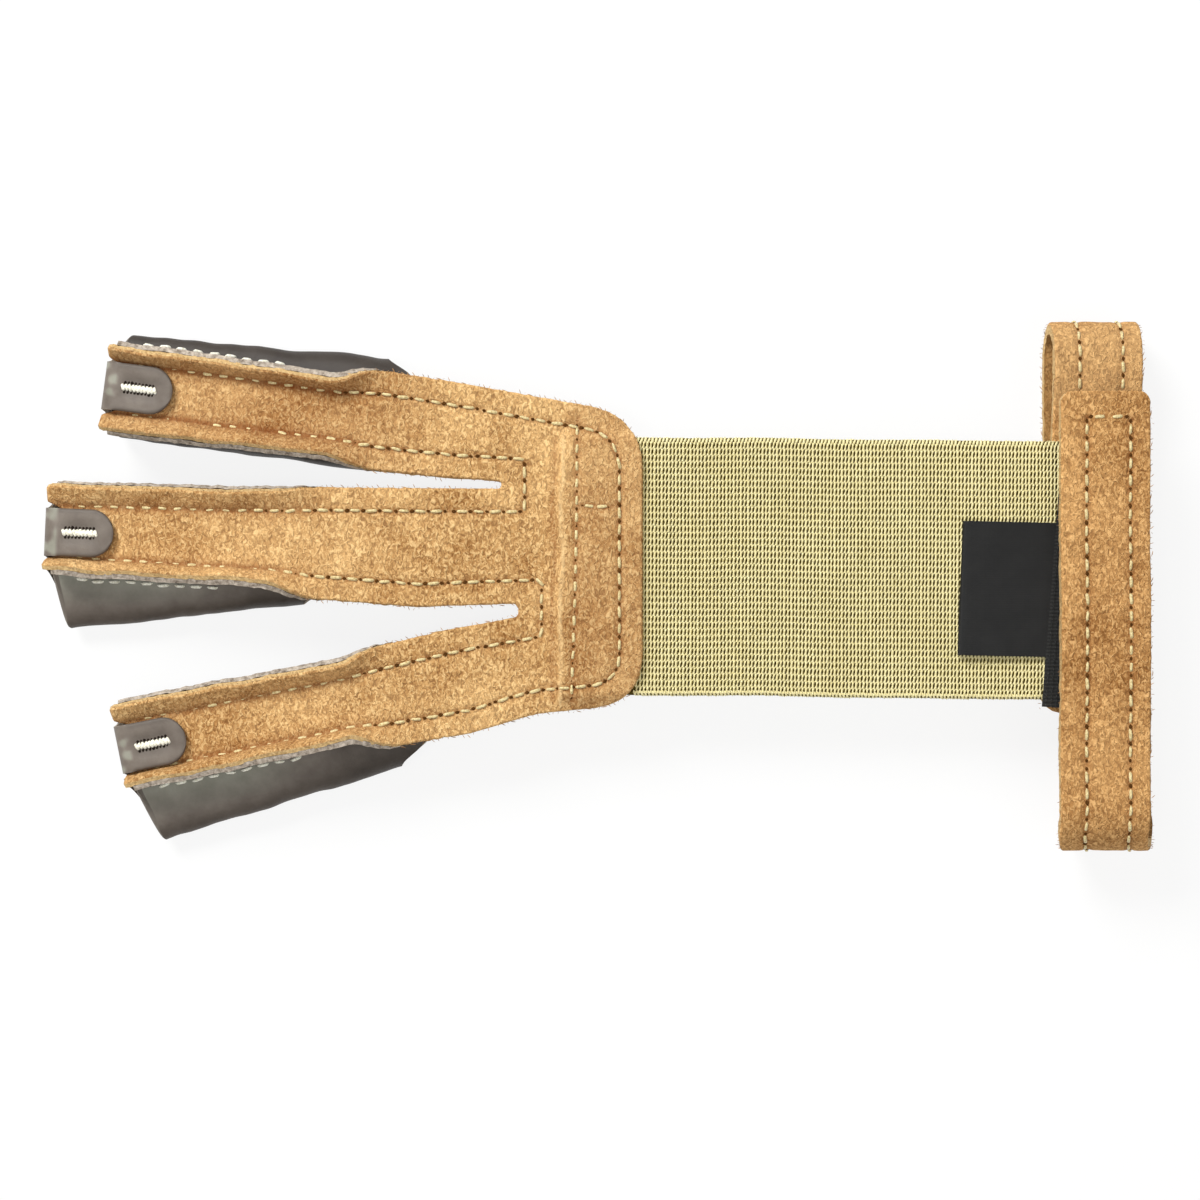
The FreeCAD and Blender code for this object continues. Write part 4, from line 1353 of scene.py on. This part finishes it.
@lru_cache(maxsize=None)
def loop_path():
    """(y, z, normal) along the strap's outer face from the flap's root round both folds to its end."""
    low, high = box_mm("wrist_strap_suede")
    near, far = (high.z - low.z) / 2, (box_mm("elastic_band")[0].z - low.z) / 2
    near_y, far_y = low.y + near, high.y - far
    end = box_mm("hook_tape")[0].y - 0.3
    path = []

    def straight(y0, y1, z, up):
        count = max(1, round(abs(y1 - y0) / STEP))
        for i in range(count):
            path.append((lerp(y0, y1, i / count), z, Vector((0, 0, up))))

    def fold(y, radius, sign):
        count = max(8, round(pi * radius / STEP))
        for i in range(count):
            a = pi * i / count
            out = Vector((0, sign * sin(a), -sign * cos(a)))
            path.append((y + out.y * radius, low.z + radius + out.z * radius, out))

    straight(flap_root(), near_y, high.z, 1)
    fold(near_y, near, -1)
    straight(near_y, far_y, low.z, -1)
    fold(far_y, far, 1)
    straight(far_y, end, low.z + 2 * far, 1)
    path.append((end, low.z + 2 * far, UP.copy()))
    return path


def strap_sway(y, z):
    """How far the loop leans towards the panel: its sewn end is askew under the flap."""
    low, high = box_mm("wrist_strap_suede")
    upper = (smooth(z, low.z + 5, low.z + 12) * (1 - smooth(z, low.z + 14.5, low.z + 17.5))
             * (1 - smooth(-y, 27, 31)))
    beneath = (1 - smooth(z, low.z + 1, high.z)) * smooth(-y, -12, 20)
    return 4.0 * beneath - 3.6 * upper * smooth(-y, -46, 26) + 0.25 * wander(y, z, 16, 2)


def strap_x(y, z, s):
    """The place in X at s from -1 to 1 across the strap."""
    low, high = box_mm("wrist_strap_suede")
    middle = (low.x + high.x) / 2 + strap_sway(y, z)
    ragged = 0.12 * wander(y, z + s * 9, 1.2, 5) * smooth(abs(s), 0.9, 1)
    return middle + s * (strap_half() + ragged)


def wrist_strap():
    """The loop in one piece: from the flap's root round the near fold, under, and back to its sewn end."""
    half = strap_half()
    columns = columns_across(half)
    path = loop_path()
    verts, shade, mark, drops = [], [], [], []
    total = len(path)
    for i, (y, z, normal) in enumerate(path):
        kept = share_at_end((total - 1 - i) * STEP, 4, 4)
        for s in columns:
            x = strap_x(y, z, s * kept)
            from_edge = (1 - abs(s)) * half
            groove = strap_groove(s * half)
            held = smooth(i, 0, 8)
            lump = (0.22 * wander(i * 0.5, s * 8, 9, 4) + 0.1 * wander(i * 0.5, s * 8, 3, 1)) * held
            lift = lump - groove
            under = smooth(-normal.z, 0.2, 0.9)
            lift = lerp(lift, min(lift, 0) * 0.3, under)
            verts.append(Vector((x, y, z)) + normal * lift)
            drops.append(-normal * rounding(from_edge))
            # painted shade in the seams' grooves
            shade.append(1.3 * min(groove, 0.3))
            # painted light on the loop's top face past the flap's end
            mark.append(0.16 * smooth(y, flap_end() - 6, flap_end()) * smooth(normal.z, 0.2, 0.9))
    faces = [f[::-1] for f in grid_faces(total, len(columns))]
    piece = new_object("wrist_strap", verts, faces, suede_materials("strap"), shade, mark)
    return thickened(piece, STRAP_THICK, drops=drops)


def loop_place(distance, side):
    """A place on the loop's cut edge that far from the flap's root, and its normal."""
    y, z, normal = loop_path()[int(distance / STEP)]
    return Vector((strap_x(y, z, side), y, z)), normal


def flap_place(u, s, lift=0.0):
    """A place on the flap's top: u in Y, s from -1 to 1 across."""
    top = box_mm("wrist_strap_suede")[1].z
    return Vector((strap_x(u, top, s), u, top + lift))


def flap():
    """The flap that closes over the sewn end, with its corners taken off."""
    half = strap_half()
    root, end = flap_root(), flap_end()
    columns = columns_across(half)
    rows = spread(root, end, STEP)
    rows = [rows[0]] + rows[4:]  # the close rows at the root go: no edge is cut there
    verts, shade, drops = [], [], []
    for y in rows:
        from_end = end - y
        kept = share_at_end(from_end, 2.4, 2.2)
        for s in columns:
            from_edge = (1 - abs(s)) * half
            groove = strap_groove(s * half) if from_end > 4.5 else 0.0
            held = smooth(y, root, root + 4)
            lump = (0.3 * wander(y, s * 8, 10, 7) + 0.1 * wander(y, s * 8, 3, 3)) * held
            verts.append(flap_place(y, s * kept, lump - groove))
            drops.append(-UP * min(rounding(from_edge) + rounding(from_end), ROUND))
            # painted shade in the seams' grooves
            shade.append(1.3 * min(groove, 0.3))
    faces = grid_faces(len(rows), len(columns))
    piece = new_object("flap_strap", verts, faces, suede_materials("strap"), shade)
    return thickened(piece, STRAP_THICK, drops=drops)


def strap_seams(settings):
    """The rows along the loop."""
    half = strap_half()
    paths = []
    for row in strap_rows():
        path = [(Vector((strap_x(y, z, row / half), y, z)) - normal * (0.12 - 0.3 * min(normal.z, 0)),
                 normal) for y, z, normal in loop_path()]
        paths.append(path)
    return seams("wrist_strap_seams", paths, settings)


def flap_seams(settings):
    """The rows along the flap, and the one that joins them near its end."""
    end = flap_end() - 5.0
    left, right = (row / strap_half() for row in strap_rows())
    paths = [[(flap_place(y, s, -0.12), UP) for y in spread(flap_root(), end, 1.0, False)]
             for s in (left, right)]
    paths.append([(flap_place(end, lerp(left, right, t / 10), -0.12), UP) for t in range(11)])
    return seams("flap_seams", paths, settings)


# ---- tapes and label ----

def slab(name, corners, bottom, top, materials):
    """A flat tape from its corners, subdivided so that it can take an uneven face."""
    rows, columns = 52, 18
    verts = []
    for r in range(rows + 1):
        for c in range(columns + 1):
            near = Vector(corners[0]).lerp(Vector(corners[1]), c / columns)
            far = Vector(corners[3]).lerp(Vector(corners[2]), c / columns)
            place = near.lerp(far, r / rows)
            verts.append((place.x, place.y, top))
    piece = new_object(name, verts, grid_faces(rows + 1, columns + 1), materials)
    return thickened(piece, top - bottom, 0, 0)


def tape_corners(node, skew):
    """The corners of a tape in the node's box, turned by skew degrees."""
    low, high = box_mm(node)
    middle = (low + high) / 2
    tilt = radians(skew)
    long = high.y - low.y
    wide = high.x - low.x
    width = (wide - long * sin(tilt)) / cos(tilt) if skew else wide
    length = (long - width * sin(tilt)) / cos(tilt)
    corners = []
    for a, b in ((-1, -1), (1, -1), (1, 1), (-1, 1)):
        x, y = a * width / 2, b * length / 2
        corners.append((middle.x + x * cos(tilt) + y * sin(tilt), middle.y - x * sin(tilt) + y * cos(tilt)))
    return corners


def hook_tape(settings):
    """The hook tape: woven ground with rows of small nylon hooks."""
    low, high = box_mm("hook_tape")
    corners = tape_corners("hook_tape", HOOK_SKEW)
    ground = slab("hook_tape_ground", corners, low.z + 0.62, high.z - 0.45,
                  [material("tape_ground", tape_look)])
    hook = tube_shape("hook", 0.9, 0.16, 0.16, 5, 5, 0.35, 0.25)
    points = []
    for r in range(60):
        for c in range(15):
            near = Vector(corners[0]).lerp(Vector(corners[1]), (c + 0.6) / 15.2)
            far = Vector(corners[3]).lerp(Vector(corners[2]), (c + 0.6) / 15.2)
            place = near.lerp(far, (r + 0.5) / 60)
            points.append(((place.x, place.y, high.z - 0.3), (0.3 if r % 2 else -0.3, 1, 0), UP))
    hooks = scattered("hooks", points, hook, material("nylon_black", nylon_look), 0.25, 0.1, settings.seed)
    return joined("hook_tape_face", [ground, hooks])


def loop_tape(settings):
    """The loop tape under the flap: ground with a brushed pile facing down."""
    low, high = box_mm("loop_tape")
    corners = tape_corners("loop_tape", 0.0)
    ground = slab("loop_tape_ground", corners, low.z + 0.4, high.z, [material("tape_ground", tape_look)])
    loop = tube_shape("loop", 0.9, 0.09, 0.09, 6, 4, 0.3)
    points = []
    for i in range(700):
        s, t = (i * 0.61803) % 1, (i * 0.75488 + 0.1) % 1
        turn = i * 2.39996
        points.append(((lerp(low.x + 0.5, high.x - 0.5, s), lerp(low.y + 0.5, high.y - 0.5, t), low.z + 0.42),
                       (cos(turn), sin(turn), 0), -UP))
    pile = scattered("pile", points, loop, material("nylon_black", nylon_look), 0.5, 0.25, settings.seed)
    return joined("loop_tape_face", [ground, pile])


def label():
    """The bare woven label: a ribbon folded back on itself, its ends under the hook tape."""
    low, high = box_mm("label")
    fold, thick = 0.3, 0.22
    path = []
    for i in range(19):
        path.append((lerp(high.x, low.x + fold, i / 18), low.z))
    for i in range(1, 8):
        a = pi * i / 8
        path.append((low.x + fold - fold * sin(a), low.z + fold - fold * cos(a)))
    for i in range(19):
        path.append((lerp(low.x + fold, high.x, i / 18), low.z + 2 * fold))
    columns = spread(-1, 1, 0.1, False)
    verts = []
    for x, z in path:
        for s in columns:
            y = (low.y + high.y) / 2 + s * (high.y - low.y) / 2
            away = smooth(high.x - x, 2, 16)
            curl = (0.22 + 0.25 * s * s) * away + 0.10 * wander(x, y, 6, 1) * away
            lean = 0.035 * (x - high.x)
            verts.append((x + 0.042 * (y - low.y) - 0.7, y + lean * -0.6, z + curl))
    faces = grid_faces(len(path), len(columns))
    piece = new_object("label_ribbon", verts, faces, [material("label_satin", label_look)])
    return thickened(piece, thick, 0, 0)


# ---- placing the pieces ----

def dress(piece, replaced=(), body=None, blend=None):
    if replaced:
        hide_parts(*replaced)
    if blend:
        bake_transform(piece)
    else:
        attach(piece, body)
    return piece


def across_knuckle(finger):
    """Where a finger strap's sheet starts and ends its bend."""
    ends = [finger.origin + finger.ahead * (side * BEND_REACH) for side in (-1, 1)]
    return "hand", finger.name + "_finger", tuple(ends[0] * MM), tuple(ends[1] * MM)


def across_flap():
    hinge = Vector(joint("strap_peel")["pos_m"])
    away = Vector((0, BEND_REACH * MM, 0))
    return "wrist", "flap", tuple(hinge - away), tuple(hinge + away)


def across_band():
    start = Vector(box_mm("hand_panel")[1]) * MM
    end = Vector(box_mm("wrist_strap_suede")[0]) * MM
    return "hand", "wrist", (start.x, 0, start.z), (end.x, 0, start.z)


def panel_rims():
    """The hand panel's cut edges, for loose fibres."""
    level = box_mm("hand_panel")[0].z + SUEDE * 0.3
    rims = []
    for chain, radii in panel_chains():
        edge = resample(rounded_chain(chain, radii), 0.5)
        rim = []
        for before, after in zip(edge, edge[1:]):
            run = after - before
            rim.append((Vector((before.x, before.y, level)), Vector((-run.y, run.x, 0)), UP))
        rims.append(rim)
    return rims


class GLOVE_OT_hand(bpy.types.Operator):
    """Makes the hand panel and its seams"""
    bl_idname = "glove.hand"
    bl_label = "Hand panel"

    def execute(self, context):
        settings = context.scene.glove
        dress(hand_back(), ("hand_panel", "hand_lining"), "hand")
        height = panel_surface()
        paths = []
        for lines, lift in zip(panel_seams(), (0.16, -0.02)):
            for line in lines:
                points = resample(line, 0.5)
                paths.append([(Vector((p.x, p.y, height(p.x, p.y)[0] + lift)), UP) for p in points])
        dress(seams("hand_seams", paths, settings), (), "hand")
        dress(fuzz("hand_fibres", panel_rims(), settings), (), "hand")
        return {"FINISHED"}


class GLOVE_OT_fingers(bpy.types.Operator):
    """Makes the three finger straps, their stalls, seams and bar tacks"""
    bl_idname = "glove.fingers"
    bl_label = "Fingers and stalls"

    def execute(self, context):
        settings = context.scene.glove
        for finger in fingers().values():
            with_ends(finger)
            name, body = finger.name, finger.name + "_finger"
            bend = across_knuckle(finger)
            dress(finger_back(finger), (name + "_strap", name + "_lining"), blend=bend)
            dress(finger_seams(finger, settings), (), blend=bend)
            rims = rims_of(lambda u, side: strap_place(finger, u, side), -BEND_REACH, finger.length + WING)
            dress(fuzz(name + "_fibres", rims, settings), (), blend=bend)
            dress(stall(finger), (name + "_stall",), body)
            dress(stall_seams(finger, settings), (), body)
            dress(bar_tack(finger, settings), (name + "_bar_tack",), body)
        return {"FINISHED"}


class GLOVE_OT_band(bpy.types.Operator):
    """Makes the elastic band: ground, ribs on both faces and selvedges"""
    bl_idname = "glove.band"
    bl_label = "Elastic band"

    def execute(self, context):
        settings = context.scene.glove
        bend = across_band()
        dress(band_ground(), ("elastic_band",), blend=bend)
        for top in (True, False):
            dress(band_ribs(settings, top), (), blend=bend)
        dress(band_selvedges(settings), (), blend=bend)
        return {"FINISHED"}


class GLOVE_OT_strap(bpy.types.Operator):
    """Makes the wrist strap, its flap and their seams"""
    bl_idname = "glove.strap"
    bl_label = "Wrist strap and flap"

    def execute(self, context):
        settings = context.scene.glove
        dress(wrist_strap(), ("wrist_strap_suede", "wrist_strap_lining"), "wrist")
        dress(strap_seams(settings), (), "wrist")
        rims = rims_of(loop_place, 0, (len(loop_path()) - 1) * STEP)
        dress(fuzz("wrist_strap_fibres", rims, settings), (), "wrist")
        dress(flap(), ("flap_suede", "flap_lining"), blend=across_flap())
        dress(flap_seams(settings), (), blend=across_flap())
        rims = rims_of(lambda y, side: (flap_place(y, side), UP), flap_root(), flap_end() - 1)
        dress(fuzz("flap_fibres", rims, settings), (), blend=across_flap())
        return {"FINISHED"}


class GLOVE_OT_tapes(bpy.types.Operator):
    """Makes the hook tape, the loop tape and the bare label"""
    bl_idname = "glove.tapes"
    bl_label = "Tapes and label"

    def execute(self, context):
        settings = context.scene.glove
        dress(hook_tape(settings), ("hook_tape",), "wrist")
        dress(loop_tape(settings), ("loop_tape",), "flap")
        dress(label(), ("label",), "wrist")
        return {"FINISHED"}


def studio_floor(tree):
    """A plain white floor that keeps a faint shadow."""
    surface = tree.nodes["Principled BSDF"]
    rays = add(tree, "ShaderNodeLightPath").outputs
    seen = add(tree, "ShaderNodeMath", {0: rays["Is Camera Ray"], 1: rays["Is Glossy Ray"]}).outputs[0]
    seen = add(tree, "ShaderNodeMath", {0: seen, 1: rays["Is Transmission Ray"]}, use_clamp=True).outputs[0]
    share = add(tree, "ShaderNodeMath", {0: seen, 1: FLOOR_WHITE}, operation="MULTIPLY").outputs[0]
    white = add(tree, "ShaderNodeEmission", {"Color": (1, 1, 1, 1), "Strength": 1.0})
    both = add(tree, "ShaderNodeMixShader", {0: share, 1: surface.outputs[0], 2: white.outputs[0]})
    tree.links.new(both.outputs[0], tree.nodes["Material Output"].inputs["Surface"])
    return {"Base Color": linear("#f2f2f0"), "Roughness": 0.9}


class GLOVE_OT_stage(bpy.types.Operator):
    """Sets up the floor, the soft lights and the camera above the glove"""
    bl_idname = "glove.stage"
    bl_label = "Stage"

    def execute(self, context):
        scene = context.scene
        floor = new_object("studio_floor", [(-3000, -3000, -0.02), (3000, -3000, -0.02), (3000, 3000, -0.02),
                                            (-3000, 3000, -0.02)], [(0, 1, 2, 3)],
                           [material("studio_white", studio_floor)])
        world = bpy.data.worlds.new("studio")
        world.use_nodes = True
        back = world.node_tree.nodes["Background"]
        back.inputs["Color"].default_value = (1, 1, 1, 1)
        back.inputs["Strength"].default_value = 0.30
        scene.world = world
        for name, place, aim, size, power in (
                ("key", (-0.55, 0.75, 0.75), (0, 0, 0), 0.45, 15.0),
                ("fill", (0.5, -0.6, 1.0), (0, 0, 0), 1.0, 4.0),
                ("top", (-0.25, -0.1, 1.2), (0, 0, 0), 0.3, 3.0)):
            lamp = bpy.data.lights.new(name, "AREA")
            lamp.size = size
            lamp.energy = power
            holder = bpy.data.objects.new(name, lamp)
            holder.location = place
            holder.rotation_euler = (Vector(aim) - Vector(place)).to_track_quat("-Z", "Y").to_euler()
            scene.collection.objects.link(holder)
        camera = bpy.data.cameras.new("camera")
        camera.sensor_width = 36
        camera.lens = 69.5
        holder = bpy.data.objects.new("camera", camera)
        holder.location = (1.7 * MM, -2.9 * MM, 464 * MM)
        scene.collection.objects.link(holder)
        scene.camera = holder
        scene.view_settings.view_transform = "Standard"
        return {"FINISHED"}


class GLOVE_PT_panel(bpy.types.Panel):
    """The glove's pieces and settings in the sidebar"""
    bl_idname = "GLOVE_PT_panel"
    bl_label = "Shooting Glove"
    bl_space_type = "VIEW_3D"
    bl_region_type = "UI"
    bl_category = "Glove"

    def draw(self, context):
        for name in ("stitch_pitch", "weave_across", "weave_along", "seed"):
            self.layout.prop(context.scene.glove, name)
        for step in STEPS:
            self.layout.operator(step.bl_idname)


STEPS = (GLOVE_OT_hand, GLOVE_OT_fingers, GLOVE_OT_band, GLOVE_OT_strap, GLOVE_OT_tapes, GLOVE_OT_stage)
CLASSES = (GloveSettings, *STEPS, GLOVE_PT_panel)


def register():
    for made in CLASSES:
        bpy.utils.register_class(made)
    bpy.types.Scene.glove = bpy.props.PointerProperty(type=GloveSettings)


def unregister():
    del bpy.types.Scene.glove
    for made in reversed(CLASSES):
        bpy.utils.unregister_class(made)


def main():
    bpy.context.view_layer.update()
    register()
    bpy.ops.glove.hand()
    bpy.ops.glove.fingers()
    bpy.ops.glove.band()
    bpy.ops.glove.strap()
    bpy.ops.glove.tapes()
    bpy.ops.glove.stage()


if __name__ == "__main__":
    main()
